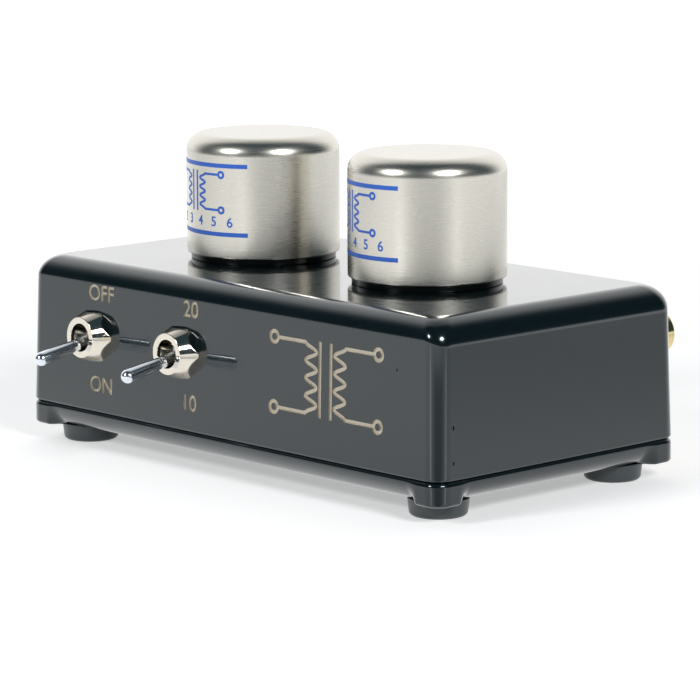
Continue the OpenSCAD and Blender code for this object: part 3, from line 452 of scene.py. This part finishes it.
# Engraving: generic words and numbers beside the toggles, and a winding sign on the right half of the front.
engraving = {"depth": 0.22, "height": 3.1, "upper": 22.65, "lower": 5.4, "groundX": -34.3, "gainX": -8.7,
             "signX": 27.5, "signHeight": 14.2, "coilH": 12.6, "coilOut": 2.8, "turns": 4, "gap": 2.8,
             "clear": 0.9, "lead": 7.0, "bar": 13.6, "line": 0.7, "dot": 1.0}
legends = (("groundX", "upper", "OFF"), ("groundX", "lower", "ON"),
           ("gainX", "upper", "20"), ("gainX", "lower", "10"))

# Pinholes that the casting left under the paint: panel, place along it, height above the seam, radius.
pinholes = (("side", -26.6, 3.2, 0.3), ("side", -26.5, 9.3, 0.36), ("front", 45.6, 18.5, 0.24))


# Winding: the path swings out and back once for each turn, (1 - cos) / 2 times the reach, with a straight
# lead at both ends that rounds into it.
def windingPath(height, out, turns, lead, side, steps=48, leadSteps=8, leadGap=0.4):
    down = np.linspace(0, 1, steps * turns)
    swing = side * out * (1 - np.cos(2 * np.pi * turns * down)) / 2
    coil = np.stack([swing, height / 2 - height * down], -1)
    top = np.stack([-side * np.linspace(lead, leadGap, leadSteps), np.full(leadSteps, height / 2)], -1)
    return np.vstack([top, coil, top[::-1] * [1, -1]])


# Ring: the cosine and sine of the turn, times the radius.
def ringPath(x, y, radius, count=40):
    turn = np.arange(count) * 2 * np.pi / count
    return np.stack([x + radius * np.cos(turn), y + radius * np.sin(turn)], -1)


# The winding sign as flat strokes: two windings, two core bars between, and a ring that laps each lead's end.
def windingSign(sign, low, high, barSteps=12, ringLap=0.45):
    strokes = []
    ringOut = sign["dot"] + sign["line"] * ringLap
    for side in (-1, 1):
        path = windingPath(sign["coilH"], sign["coilOut"], sign["turns"], sign["lead"], -side)
        path[:, 0] += side * (sign["gap"] / 2 + sign["coilOut"] + sign["clear"])
        strokes.append(stroke(path, sign["line"], low, high))
        for x, y in (path[0], path[-1]):
            ring = ringPath(x + side * ringOut, y, sign["dot"])
            strokes.append(stroke(ring, sign["line"], low, high, loop=True))
        x, end = side * sign["gap"] / 2, sign["bar"] / 2
        bar = np.linspace([x, -end], [x, end], barSteps)
        strokes.append(stroke(bar, sign["line"], low, high))
    return strokes


# Holes are cylinders across the wall, words and sign are as deep as the engraving, pinholes are small balls.
def boxCuts():
    def hole(diameter, low=-5.0, high=3.0):
        return skin(lathe([[diameter / 2, low], [diameter / 2, high]], 96))

    s, depth = engraving, engraving["depth"]
    cuts = [onPanel(hole(toggle["holeD"]), "front", x, toggle["height"]) for x in toggleX.values()]
    cuts += [onPanel(hole(jack["holeD"]), "back", x, jack["height"]) for x in jackX.values()]
    cuts.append(onPanel(hole(post["holeD"]), "back", 0, jack["height"]))
    cuts += [placed(hole(boxShape["neckHoleD"]), [*footOf(node)[:2], boxHigh[2]])
             for node in ("left_can", "right_can")]
    cuts += [onPanel(lettering(word, s["height"], depth), "front", s[x], s[row]) for x, row, word in legends]
    cuts += [onPanel(part, "front", s["signX"], s["signHeight"]) for part in windingSign(s, -depth, depth)]
    bead = np.radians(np.linspace(3, 177, 16))
    ball = np.stack([np.sin(bead), -np.cos(bead)], -1)
    cuts += [onPanel(skin(lathe(ball * radius, 24)), panel, along, height) + (1,)  # painted inside
             for panel, along, height, radius in pinholes]
    return cuts


box = addPiece("painted_box", [paintedBox()], [blackCoat], "chassis", ["chassis_box"])
cutBy(box, addPiece("box_cuts", boxCuts(), [bareCasting, blackCoat], None))
print("painted box:", len(box.data.polygons), "faces")


# Painted lid: the outline's inset at height h blends the lands' small edge with the big round-over between
# them, r - sqrt(r^2 - (r - h)^2) for each, and the seam edge adds its own at the top.
lidFoot = footOf("base_lid")
lidShape = {"height": 4.4, "land": 5.3, "runout": 3.2, "landEdge": 0.6, "round": 4.8, "seamEdge": 0.9,
            "screwInset": 4.8, "headD": 6.8, "screwD": 3.8, "hold": 0.08, "steps": 24, "edgeSteps": 14,
            "roundSteps": 26, "runoutSteps": 15}


def paintedLid():
    s = lidShape

    def roundInset(radius, height):
        left = np.clip(radius - height, 0, radius)
        return radius - np.sqrt(radius ** 2 - left ** 2)

    def levels(radius, count):
        return radius * (1 - np.cos(np.linspace(0, math.pi / 2, count)))

    height = np.unique(np.round(np.concatenate([
        levels(s["landEdge"], s["edgeSteps"]), levels(s["round"], s["roundSteps"]),
        s["height"] - levels(s["seamEdge"], s["edgeSteps"])]), 5))
    height = height[height <= s["height"]]
    land, over = roundInset(s["landEdge"], height), roundInset(s["round"], height)
    seam = roundInset(s["seamEdge"], s["height"] - height)
    # columns: each corner arc, then the side behind it with its two run-outs
    corner = boxShape["corner"]
    step = np.linspace(0, 1, s["runoutSteps"])
    ease = step ** 2 * (3 - 2 * step)
    first = s["land"] - corner + step * s["runout"]
    starts, normals, shares = [], [], []
    for k, sign in enumerate(cornerSigns):
        centre = np.array(sign) * (boxSize[:2] / 2 - corner)
        turn = np.radians(90 * k + np.linspace(0, 90, s["steps"] + 1))
        normals.append(np.stack([np.cos(turn), np.sin(turn)], -1))
        starts.append(np.tile(centre, (len(turn), 1)))
        shares.append(np.zeros(len(turn)))
        length = boxSize[k % 2] - 2 * corner
        along = np.concatenate([[s["hold"]], first, length - first[::-1], [length - s["hold"]]])
        way = np.array([-math.sin(turn[-1]), math.cos(turn[-1])])
        starts.append(centre + along[:, None] * way)
        normals.append(np.tile(normals[-1][-1], (len(along), 1)))
        shares.append(np.concatenate([[0], ease, ease[::-1], [0]]))
    start, normal, share = np.vstack(starts), np.vstack(normals), np.concatenate(shares)
    inset = (1 - share) * land[:, None] + share * over[:, None] + seam[:, None]
    plan = start[None] + (corner - inset)[..., None] * normal[None]
    level = np.repeat(height[:, None], len(share), 1)
    return skin(np.concatenate([plan, level[..., None]], -1) + lidFoot)


# Screw holes: a cone from the head's edge in to the shank, turned round each screw's axis.
def lidCuts(past=0.1):
    s = lidShape
    inset = boxSize[:2] / 2 - s["screwInset"]
    head, shank = s["headD"] / 2, s["screwD"] / 2
    sink = skin(lathe([[head + past, -past], [shank, head - shank], [shank, s["height"] + 1]], 64))
    return [placed(sink, lidFoot + [x * inset[0], y * inset[1], 0]) for x in (-1, 1) for y in (-1, 1)]


lid = addPiece("painted_lid", [paintedLid()], [blackCoat], "chassis", ["base_lid"])
cutBy(lid, addPiece("lid_cuts", lidCuts(), [bareCasting], None))
print("painted lid:", len(lid.data.polygons), "faces")


# Rubber feet: a short taper with a rounded lower edge, turned round its axis.
feetLow, feetHigh = boxOf("rubber_feet")
foot = {"topD": 10.9, "bottomD": 10.2, "height": feetHigh[2] - feetLow[2], "edge": 0.8, "topEdge": 0.15,
        "pole": 0.3}


def rubberFeet():
    s, reach = foot, foot["topD"] / 2
    shape = turned([[s["pole"], 0, 0], [s["bottomD"] / 2, 0, s["edge"]],
                    [reach, s["height"], s["topEdge"]], [s["pole"], s["height"], 0]])
    return [placed(shape, [x, y, feetLow[2]]) for x in (feetLow[0] + reach, feetHigh[0] - reach)
            for y in (feetLow[1] + reach, feetHigh[1] - reach)]


addPiece("moulded_feet", rubberFeet(), [mouldedRubber], "chassis", ["rubber_feet"])


# Shielding cans: a drawn cup with a round shoulder, an open lower rim and its wall inside.
can = {"wall": 0.8, "shoulder": 3.3, "rim": 0.25, "pole": 0.4}
gasket = {"bore": 4.9, "edge": 0.25, "sides": 160}
# Print: an arc of lines with the winding sign, and a row of plain terminal numbers below it.
printing = {"left": -13 * degree, "right": -25 * degree, "width": 25.0, "top": 17.4, "bottom": 4.6,
            "rule": 0.8, "ruleSteps": 60, "high": 0.03, "low": -0.02, "signHeight": 12.4, "numbers": 6,
            "numberHeight": 1.9, "rowHeight": 6.9, "coilH": 6.6, "coilOut": 1.5, "turns": 4, "gap": 1.5,
            "clear": 0.9, "lead": 3.2, "bar": 7.6, "line": 0.45, "dot": 0.55}


def canShell(radius, height):
    s, inner, under = can, radius - can["wall"], height - can["wall"]
    return turned([[s["pole"], height, 0], [radius, height, s["shoulder"]], [radius, 0, s["rim"]],
                   [inner, 0, s["rim"]], [inner, under, s["shoulder"] - s["wall"]], [s["pole"], under, 0]],
                  256, steps=24)


# Wrap: distance along the print becomes an angle round the can, measured from the front towards the right.
def wrapped(shell, radius, middle):
    points, faces = shell
    turn = points[:, 0] / radius + middle
    reach = radius + points[:, 2]
    return np.stack([reach * np.sin(turn), -reach * np.cos(turn), points[:, 1]], -1), faces


def canPrint(radius, middle):
    s = printing
    flat = []
    for height in (s["top"], s["bottom"]):
        rule = np.linspace([-s["width"] / 2, height], [s["width"] / 2, height], s["ruleSteps"])
        flat.append(stroke(rule, s["rule"], s["low"], s["high"]))
    flat += [placed(part, [0, s["signHeight"], 0]) for part in windingSign(s, s["low"], s["high"])]
    for k in range(s["numbers"]):
        along = (k - (s["numbers"] - 1) / 2) * s["width"] / (s["numbers"] + 1)
        flat.append(placed(lettering(str(k + 1), s["numberHeight"], s["high"]), [along, s["rowHeight"], 0]))
    return [wrapped(shell, radius, middle) for shell in flat]


for side in ("left", "right"):
    (low, high), spot = boxOf(side + "_can"), footOf(side + "_can")
    radius = (high[0] - low[0]) / 2
    addPiece(side + "_drawn_can", [placed(canShell(radius, high[2] - low[2]), spot)], [canNickel], "chassis",
             [side + "_can"])
    ink = [placed(part, spot) for part in canPrint(radius, printing[side])]
    addPiece(side + "_can_print", ink, [blueInk], "chassis")
    low, high = boxOf(side + "_gasket")
    reach, thick = (high[0] - low[0]) / 2, high[2] - low[2]
    ring = turned([[gasket["bore"], 0, 0], [reach, 0, gasket["edge"]], [reach, thick, gasket["edge"]],
                   [gasket["bore"], thick, 0]], gasket["sides"], ring=True)
    addPiece(side + "_gasket_ring", [placed(ring, [*spot[:2], low[2]])], [gasketRubber], "chassis",
             [side + "_gasket"])
print("feet, cans, prints and gaskets")


# Toggle dress nut: round the axis, the radius at height z is the smaller of the hexagon's and the turned
# cone's, -k log(exp(-a / k) + exp(-b / k)) so that the edge between them is a little soft.
nut = {"height": 3.3, "acrossFlats": 9.3, "slope": 22 * degree, "ringD": 7.6, "mouthD": 5.2, "boreD": 6.45,
       "lip": 0.7, "edge": 0.14, "mouthEdge": 0.12, "soft": 0.03, "hold": 0.04, "front": 0.5, "rows": 60,
       "sides": 480}


def dressNut():
    s = nut
    ring, mouth, bore, inside = s["ringD"] / 2, s["mouthD"] / 2, s["boreD"] / 2, s["height"] - s["lip"]
    turn = np.arange(s["sides"]) * 2 * np.pi / s["sides"]
    hexagon = s["acrossFlats"] / 2 / np.cos(turn % (np.pi / 3) - np.pi / 6)
    z = np.concatenate([[0.0], np.linspace(s["hold"], s["height"] - s["front"], s["rows"])])
    cone = ring + (s["height"] - z) * math.tan(s["slope"])
    side = -s["soft"] * np.logaddexp(-hexagon[None] / s["soft"], -cone[:, None] / s["soft"])
    front = rounded([[cone[-1], z[-1], 0], [ring, s["height"], s["edge"]],
                     [mouth, s["height"], s["mouthEdge"]], [mouth, inside, 0], [bore, inside, 0],
                     [bore, 0, 0]], steps=6)[1:]
    radius = np.vstack([side, np.repeat(front[:, :1], s["sides"], 1)])
    height = np.repeat(np.concatenate([z, front[:, 1]])[:, None], s["sides"], 1)
    return skin(np.stack([radius * np.cos(turn), radius * np.sin(turn), height], -1), loop=True)


# Toggle lever: straight neck, widening bat with a ball end, pivot ball and arm with its cross bar.
lever = {"length": 14.7, "tipD": 2.6, "neckD": 2.2, "neckL": 7.0, "waistR": 12.0, "armL": 8.4, "armEdge": 0.2,
         "armTaper": 0.9, "ballD": 3.8, "trunnionD": 1.0, "trunnionL": 5.7, "barD": 1.4, "groundBar": 2.0,
         "gainBar": 7.4, "rodEdge": 0.1, "pivotDepth": 2.1, "rest": 12.5 * degree, "domeShare": 0.97}


def toggleLever(barLength):
    s = lever
    neck, tip, ball = s["neckD"] / 2, s["tipD"] / 2, s["ballD"] / 2
    dome = np.linspace(0, s["domeShare"] * math.pi / 2, 24)  # stops just short of its pole
    bat = np.stack([tip * np.cos(dome), s["length"] + tip * np.sin(dome)], -1)
    meet = math.asin(neck / ball)
    turn = np.linspace(math.pi - meet, meet, 40)
    sphere = np.stack([ball * np.sin(turn), ball * np.cos(turn)], -1)
    waist = rounded([[*sphere[-1], 0], [neck, s["neckL"], s["waistR"]], [tip, s["length"], 0]])
    arm = [[neck * s["armTaper"], -s["armL"]], [neck, s["armEdge"] - s["armL"]]]
    shells = [skin(lathe(np.vstack([arm, sphere, waist[1:-1], bat]), 96))]
    edge = s["rodEdge"]
    for width, length, z in ((s["trunnionD"], s["trunnionL"], 0), (s["barD"], barLength, -s["armL"])):
        points, faces = turned([[edge, -length / 2, 0], [width / 2, -length / 2, edge],
                                [width / 2, length / 2, edge], [edge, length / 2, 0]], 40, steps=4)
        shells.append((points[:, [2, 1, 0]] * [1, 1, -1] + [0, 0, z], faces))
    sine, cosine = math.sin(s["rest"]), math.cos(s["rest"])
    tilt = [[1, 0, 0], [0, cosine, sine], [0, -sine, cosine]]
    return [placed(shell, [0, 0, -s["pivotDepth"]], tilt) for shell in shells]


for name, x in toggleX.items():
    ring = onPanel(dressNut(), "front", x, toggle["height"])
    addPiece(name + "_toggle_nut", [ring], [nickelPlate], "chassis", [name + "_switch_dress_nut"],
             crease=24)
    bat = [onPanel(shell, "front", x, toggle["height"]) for shell in toggleLever(lever[name + "Bar"])]
    addPiece(name + "_toggle_bat", bat, [chromePlate], name + "_lever", [name + "_switch_lever"])
print("toggles")


# Phono jacks: turned shells, white insulators and a split tube in the middle.
jackFace = jack["washerT"] + jack["flangeT"]
jackEnd = jackFace + jack["barrelL"]
jackFront = jackEnd - jack["recess"]


# Shell: a closed outline of neck, flange and barrel on the lathe.
def jackShell():
    s = jack
    bore, neck, flange, barrel = (s[key] / 2 for key in ("boreD", "neckD", "flangeD", "barrelD"))
    return turned([[bore, s["neckEnd"], 0], [neck, s["neckEnd"], 0], [neck, s["washerT"], 0],
                   [flange, s["washerT"], 0.2], [flange, jackFace, 0.3], [barrel, jackFace, 0.12],
                   [barrel, jackEnd, 0.3], [bore, jackEnd, 0.12]], 128, ring=True, steps=8)


# Insulator: a plain ring between shell and contact.
def jackInsulator():
    bore, edge, back = jack["tubeD"] / 2 + jack["play"], jack["insulatorD"] / 2, jack["neckEnd"]
    return turned([[bore, back, 0], [edge, back, 0], [edge, jackFront, 0.15], [bore, jackFront, 0.1]],
                  ring=True, steps=6)


# Contact: a tube with a drilled socket in front and a solder tail behind, on the lathe.
def jackContact():
    s = jack
    tube, hole, tail = s["tubeD"] / 2, s["socketD"] / 2, s["tailD"] / 2
    back, bottom = s["neckEnd"] - s["tubeOut"], jackFront - s["socketL"]
    return turned([[s["pole"], back - s["tailL"], 0], [tail, back - s["tailL"], 0.2], [tail, back, 0],
                   [tube, back, 0.15], [tube, jackFront, 0.12], [hole, jackFront, 0.2], [hole, bottom, 0],
                   [s["pole"], bottom - s["drillTip"], 0]], steps=6)


# Slits: two flat bars that cross in the front of the tube.
def contactSlits():
    line = np.linspace([-jack["tubeD"], 0], [jack["tubeD"], 0], 4)
    points, faces = stroke(line, jack["slit"], jackFront - jack["slitL"], jackFront + 1)
    return [(points, faces), (points[:, [1, 0, 2]] * [-1, 1, 1], faces)]


jackParts = (("turned", "shell", jackShell(), goldPlate, "gold_plate"),
             ("turned", "insulator", jackInsulator(), whitePtfe, "white_insulator"),
             ("split", "contact", jackContact(), goldPlate, "gold_plate"))
for name, x in jackX.items():
    for way, part, shell, finish, slot in jackParts:
        shells = [onPanel(shell, "back", x, jack["height"])]
        piece = addPiece("%s_%s_%s" % (name, way, part), shells, [finish], "chassis", [name + "_" + part])
    slits = [onPanel(slit, "back", x, jack["height"]) for slit in contactSlits()]
    cutBy(piece, addPiece("slits", slits, [goldPlate], None))  # the contact comes last
print("jacks")


# Ground post: stud with its flange and a flat clamp washer, both on the lathe, and a thumb nut whose radius
# dips by sqrt(r^2 - along^2) at each flute.
def postStud():
    s = post
    stud, flange = s["studD"] / 2, s["flangeD"] / 2
    return turned([[s["pole"], -s["studIn"], 0], [stud, -s["studIn"], 0.3], [stud, 0, 0], [flange, 0, 0.2],
                   [flange, s["flangeT"], 0.3], [stud, s["flangeT"], 0], [stud, s["studOut"], 0.4],
                   [s["pole"], s["studOut"], 0]], steps=6)


def clampWasher():
    bore, edge, low = post["boreD"] / 2, post["clampD"] / 2, post["flangeT"]
    high = low + post["clampT"]
    return turned([[bore, low, 0], [edge, low, 0.15], [edge, high, 0.15], [bore, high, 0]],
                  ring=True, steps=4)


def thumbNut():
    s = post
    bore, edge, low = s["boreD"] / 2, s["thumbD"] / 2, s["flangeT"] + s["clampT"]
    high = low + s["thumbH"]
    ring = rounded([[bore, low, 0], [edge, low, 0.4], [edge, high, 0.4], [bore, high, 0.2]],
                   closed=True, steps=6)
    rows = lathe(ring, s["fluteSteps"] * s["flutes"])
    share = (np.arange(rows.shape[1]) / s["fluteSteps"] + 0.5) % 1 - 0.5
    along = share * np.pi * s["thumbD"] / s["flutes"]
    dip = np.sqrt(np.clip(s["fluteR"] ** 2 - along ** 2, 0, None))
    radius = np.linalg.norm(rows[..., :2], axis=-1)
    rows[..., :2] *= (np.minimum(radius, edge - dip[None]) / radius)[..., None]
    return skin(rows, loop=True)


for name, shell, body, part in (("turned_post_stud", postStud(), "chassis", "stud"),
                                ("stamped_clamp_washer", clampWasher(), "clamp_washer", "clamp_washer"),
                                ("fluted_thumb_nut", thumbNut(), "thumb_nut", "thumb_nut")):
    addPiece(name, [onPanel(shell, "back", 0, jack["height"])], [goldPlate], body, ["ground_post_" + part])
print("ground post")


# Carried-over nodes take their finish by the record's slot.
slotFinish = {
    "black_powder_coat": blackCoat,
    "screw_steel": metalFinish("black_oxide_screw_steel", "#5b5d60", "#3c3e41", 0.32),
    "foot_rubber": mouldedRubber,
    "satin_nickel": canNickel,
    "gasket_rubber": gasketRubber,
    "can_alloy": metalFinish("turned_zinc_alloy", "#a9a69e", "#8f8c85", 0.34, mark=0.3, markLength=2.0),
    "core_alloy": metalFinish("stacked_core_laminations", "#8c8a84", "#65635e", 0.4, mark=0.35, markLength=30,
                              depth=0.02),
    "bobbin_nylon": mouldedFinish("natural_nylon_bobbin", "#d8d1b6", "#c4bb9d", 0.42),
    "copper_wire": magnetWire(),
    "zinc_steel": metalFinish("zinc_plated_steel", "#c3c6c8", "#a2a7aa", 0.3, cloud=1.2),
    "red_wire": mouldedFinish("red_pvc_wire", "#c23a2e", "#a92e24", 0.4),
    "white_wire": mouldedFinish("white_pvc_wire", "#e6e4dc", "#d6d3ca", 0.4),
    "green_wire": mouldedFinish("green_pvc_wire", "#357a45", "#2a6338", 0.4),
    "switch_plastic": mouldedFinish("blue_moulded_phenolic", "#254a8c", "#1a3767", 0.45),
    "tinned_brass": metalFinish("tinned_brass", "#d6cfbb", "#b9b19a", 0.32),
    "contact_silver": metalFinish("silver_plated_contact", "#dddbd6", "#c6c3bc", 0.25),
    "bright_chrome": nickelPlate,
    "white_insulator": whitePtfe,
    "washer_plastic": fibreWasher,
    "gold_plate": goldPlate,
}
slotOf = {part["node"]: part["material_slot"] for part in frame["record"]["subparts"]}
for name, node in nodes.items():
    node.data.materials.clear()
    node.data.materials.append(slotFinish[slotOf[name]])
print("carried-over nodes:", len(nodes))


# Camera, fitted to the corners of the box, the cans and the feet in a 700 px square frame.
view = {"azimuth": 47.073 * degree, "elevation": 9.904 * degree, "roll": -0.236 * degree,
        "distance": 687.685, "target": (1.618, boxMiddle[1], boxLow[2] + 12.832), "focalPixels": 3712.935,
        "framePixels": 700, "sensor": 36.0}


def wayTo(azimuth, elevation):
    level = math.cos(elevation)
    return Vector((math.sin(azimuth) * level, -math.cos(azimuth) * level, math.sin(elevation)))


towards = wayTo(view["azimuth"], 0)
across = Vector((math.cos(view["azimuth"]), math.sin(view["azimuth"]), 0))


def addCamera():
    back, roll = wayTo(view["azimuth"], view["elevation"]), view["roll"]
    up = back.cross(across)
    right = math.cos(roll) * across + math.sin(roll) * up
    upright = math.cos(roll) * up - math.sin(roll) * across
    data = bpy.data.cameras.new("camera")
    data.sensor_width = view["sensor"]
    data.lens = view["focalPixels"] / view["framePixels"] * view["sensor"]
    data.clip_start, data.clip_end = 0.01, 50
    camera = bpy.data.objects.new("camera", data)
    spot = Vector(view["target"]) + back * view["distance"]
    camera.matrix_world = Matrix.Translation(spot * mm) @ Matrix((right, upright, back)).transposed().to_4x4()
    bpy.context.scene.collection.objects.link(camera)
    bpy.context.scene.camera = camera


# Stage: a white floor that keeps the shadow, seen a little brighter by the camera and in gloss.
stage = {"floor": 6000.0, "albedo": 0.86, "glossLift": 0.36, "lift": 0.42, "farLift": 0.7, "near": 100.0,
         "far": 500.0, "dark": "#2f3e45", "sky": 1.2, "fadeStart": 25.0, "fadeEnd": 95.0, "fadeTo": 0.15,
         "backStart": 100.0, "backEnd": 138.0}

# Painted shade and light on the floor, seen only in reflections: a dark patch before the near corner between two
#  painted bright edges, a floor that darkens to the right and is bright again further off, and a painted brighter
#  floor behind the object. Each ramp has its start and its end, in degrees or millimetres, and the light at both.
paintedFloorShadeAndLight = {"edgeTurn": 49.0, "shade": (12.0, 50.0, 0.36, 1.0), "edge": (0.0, 8.0, 1.1, 0.0),
        "rear": (110.0, 165.0, 0.0, 0.42), "end": (200.0, 325.0, 0.0, 1.0), "side": (-30.0, 255.0, 1.0, 0.64),
        "far": (272.0, 370.0, 0.0, 0.8)}


# How far a way goes to the camera's right, and its turn from the camera's side without the sign.
def addTurn(tree, way):
    ahead, aside = (addNode(tree, "ShaderNodeVectorMath", {0: way, 1: axis}, operation="DOT_PRODUCT")
                    for axis in (towards, across))
    turn = addNode(tree, "ShaderNodeMath", {0: aside, 1: ahead}, operation="ARCTAN2")
    return aside, addNode(tree, "ShaderNodeMath", {0: turn}, operation="ABSOLUTE")


# The painted shade and light's share of the floor's light in reflections, by a place's turn and distance from the
# near corner.
def addPaintedFloorShadeAndLight(tree, spot):
    corner = (boxHigh[0] * mm, boxLow[1] * mm, 0)
    way = addNode(tree, "ShaderNodeVectorMath", {0: spot, 1: corner}, operation="SUBTRACT")
    length = addNode(tree, "ShaderNodeVectorMath", {0: way}, operation="LENGTH")
    aside, away = addTurn(tree, way)
    past = addNode(tree, "ShaderNodeMath", {0: away, 1: paintedFloorShadeAndLight["edgeTurn"] * degree}, operation="SUBTRACT")
    beside = addNode(tree, "ShaderNodeMath", {0: past}, operation="ABSOLUTE")
    ramps = {}
    for name, value, unit in (("shade", away, degree), ("edge", beside, degree), ("rear", away, degree),
                              ("end", length, mm), ("side", aside, mm), ("far", aside, mm)):
        start, end, first, last = paintedFloorShadeAndLight[name]
        ramps[name] = addNode(tree, "ShaderNodeMapRange", {
            "Value": value, "From Min": start * unit, "From Max": end * unit,
            "To Min": first, "To Max": last}, interpolation_type="SMOOTHSTEP")
    lit = addNode(tree, "ShaderNodeMath", {0: ramps["edge"], 1: ramps["shade"]}, operation="ADD")
    front = addNode(tree, "ShaderNodeMix", {0: ramps["end"], 2: lit, 3: 1.0}, data_type="FLOAT")
    glow = addNode(tree, "ShaderNodeMath", {0: ramps["far"], 1: ramps["rear"]}, operation="ADD")
    return addNode(tree, "ShaderNodeMath", {0: front, 1: ramps["side"], 2: glow}, operation="MULTIPLY_ADD")


def addFloor():
    half = stage["floor"] / 2
    mesh = bpy.data.meshes.new("floor")
    mesh.from_pydata([(x * half * mm, y * half * mm, 0) for x, y in cornerSigns], [], [[0, 1, 2, 3]])
    floor = bpy.data.objects.new("floor", mesh)
    bpy.context.scene.collection.objects.link(floor)
    material = bpy.data.materials.new("white_studio_floor")
    material.use_nodes = True
    tree = material.node_tree
    tree.nodes.clear()
    path = addNode(tree, "ShaderNodeLightPath", {}).outputs
    spot = addNode(tree, "ShaderNodeTexCoord", {}).outputs["Object"]
    away = addNode(tree, "ShaderNodeVectorMath", {0: spot}, operation="LENGTH")
    even = addNode(tree, "ShaderNodeMapRange", {
        "Value": away, "From Min": stage["near"] * mm, "From Max": stage["far"] * mm,
        "To Min": stage["lift"], "To Max": stage["farLift"]}, interpolation_type="SMOOTHSTEP")
    seen = addNode(tree, "ShaderNodeMath", {0: path["Is Camera Ray"], 1: even}, operation="MULTIPLY")
    gloss = addNode(tree, "ShaderNodeMath", {0: path["Is Glossy Ray"], 1: path["Is Transmission Ray"]},
                    operation="MAXIMUM")
    # for gloss rays the floor's colour and glow carry the painted shade and light
    light = addNode(tree, "ShaderNodeMix", {0: gloss, 2: 1.0, 3: addPaintedFloorShadeAndLight(tree, spot)}, data_type="FLOAT")
    shine = addNode(tree, "ShaderNodeMath", {0: light, 1: stage["glossLift"]}, operation="MULTIPLY")
    lift = addNode(tree, "ShaderNodeMath", {0: gloss, 1: shine, 2: seen}, operation="MULTIPLY_ADD")
    tone = addNode(tree, "ShaderNodeVectorMath", {0: (stage["albedo"],) * 3, "Scale": light},
                   operation="SCALE")
    paper = addNode(tree, "ShaderNodeBsdfDiffuse", {"Color": tone})
    glow = addNode(tree, "ShaderNodeEmission", {"Strength": lift})
    both = addNode(tree, "ShaderNodeAddShader", {0: paper, 1: glow})
    addNode(tree, "ShaderNodeOutputMaterial", {"Surface": both})
    mesh.materials.append(material)


# Studio round the object: dark on the camera's side and overhead, with a bright wall behind that fades up.
def addStudio():
    world = bpy.data.worlds.new("studio")
    bpy.context.scene.world = world
    world.use_nodes = True
    tree = world.node_tree
    tree.nodes.clear()
    way = addNode(tree, "ShaderNodeTexCoord", {}).outputs["Generated"]
    away = addTurn(tree, way)[1]
    height = addNode(tree, "ShaderNodeSeparateXYZ", {0: way}).outputs["Z"]
    rise = addNode(tree, "ShaderNodeMath", {0: height}, operation="ARCSINE")
    fade = addNode(tree, "ShaderNodeMapRange", {
        "Value": rise, "From Min": stage["fadeStart"] * degree, "From Max": stage["fadeEnd"] * degree,
        "To Min": 1.0, "To Max": stage["fadeTo"]}, interpolation_type="SMOOTHSTEP")
    behind = addNode(tree, "ShaderNodeMapRange", {
        "Value": away, "From Min": stage["backStart"] * degree, "From Max": stage["backEnd"] * degree},
        interpolation_type="SMOOTHSTEP")
    share = addNode(tree, "ShaderNodeMath", {0: fade, 1: behind}, operation="MULTIPLY")
    light = addNode(tree, "ShaderNodeMix", {
        0: share, 6: linear(stage["dark"]), 7: (stage["sky"],) * 3 + (1,)}, data_type="RGBA")
    path = addNode(tree, "ShaderNodeLightPath", {}).outputs
    shown = addNode(tree, "ShaderNodeMix", {0: path["Is Camera Ray"], 6: light, 7: (1, 1, 1, 1)},
                    data_type="RGBA")
    sky = addNode(tree, "ShaderNodeBackground", {"Color": shown})
    addNode(tree, "ShaderNodeOutputWorld", {"Surface": sky})


# Two softboxes on the camera's side: turn from the camera, rise and size in degrees, level as radiance.
softboxes = ({"turn": -54, "rise": 29, "wide": 15, "tall": 14, "level": 24.0},
             {"turn": 31, "rise": 30, "wide": 20, "tall": 15, "level": 22.0})


def addSoftbox(name, turn, rise, wide, tall, level, distance=900.0, aimHeight=30.0):
    back = wayTo(view["azimuth"] + turn * degree, rise * degree)
    lamp = bpy.data.lights.new(name, "AREA")
    lamp.shape = "ELLIPSE"
    lamp.size, lamp.size_y = (2 * distance * math.tan(angle / 2 * degree) * mm for angle in (wide, tall))
    lamp.energy = level * math.pi * math.pi / 4 * lamp.size * lamp.size_y
    holder = bpy.data.objects.new(name, lamp)
    holder.location = (Vector((0, boxMiddle[1], aimHeight)) + back * distance) * mm
    holder.rotation_mode = "QUATERNION"
    holder.rotation_quaternion = (-back).to_track_quat("-Z", "Y")
    holder.visible_camera = False
    bpy.context.scene.collection.objects.link(holder)


addCamera()
addFloor()
addStudio()
for number, softbox in enumerate(softboxes):
    addSoftbox("softbox_%d" % (number + 1), **softbox)
bpy.context.scene.view_settings.view_transform = "Standard"
print("camera, floor and lights")
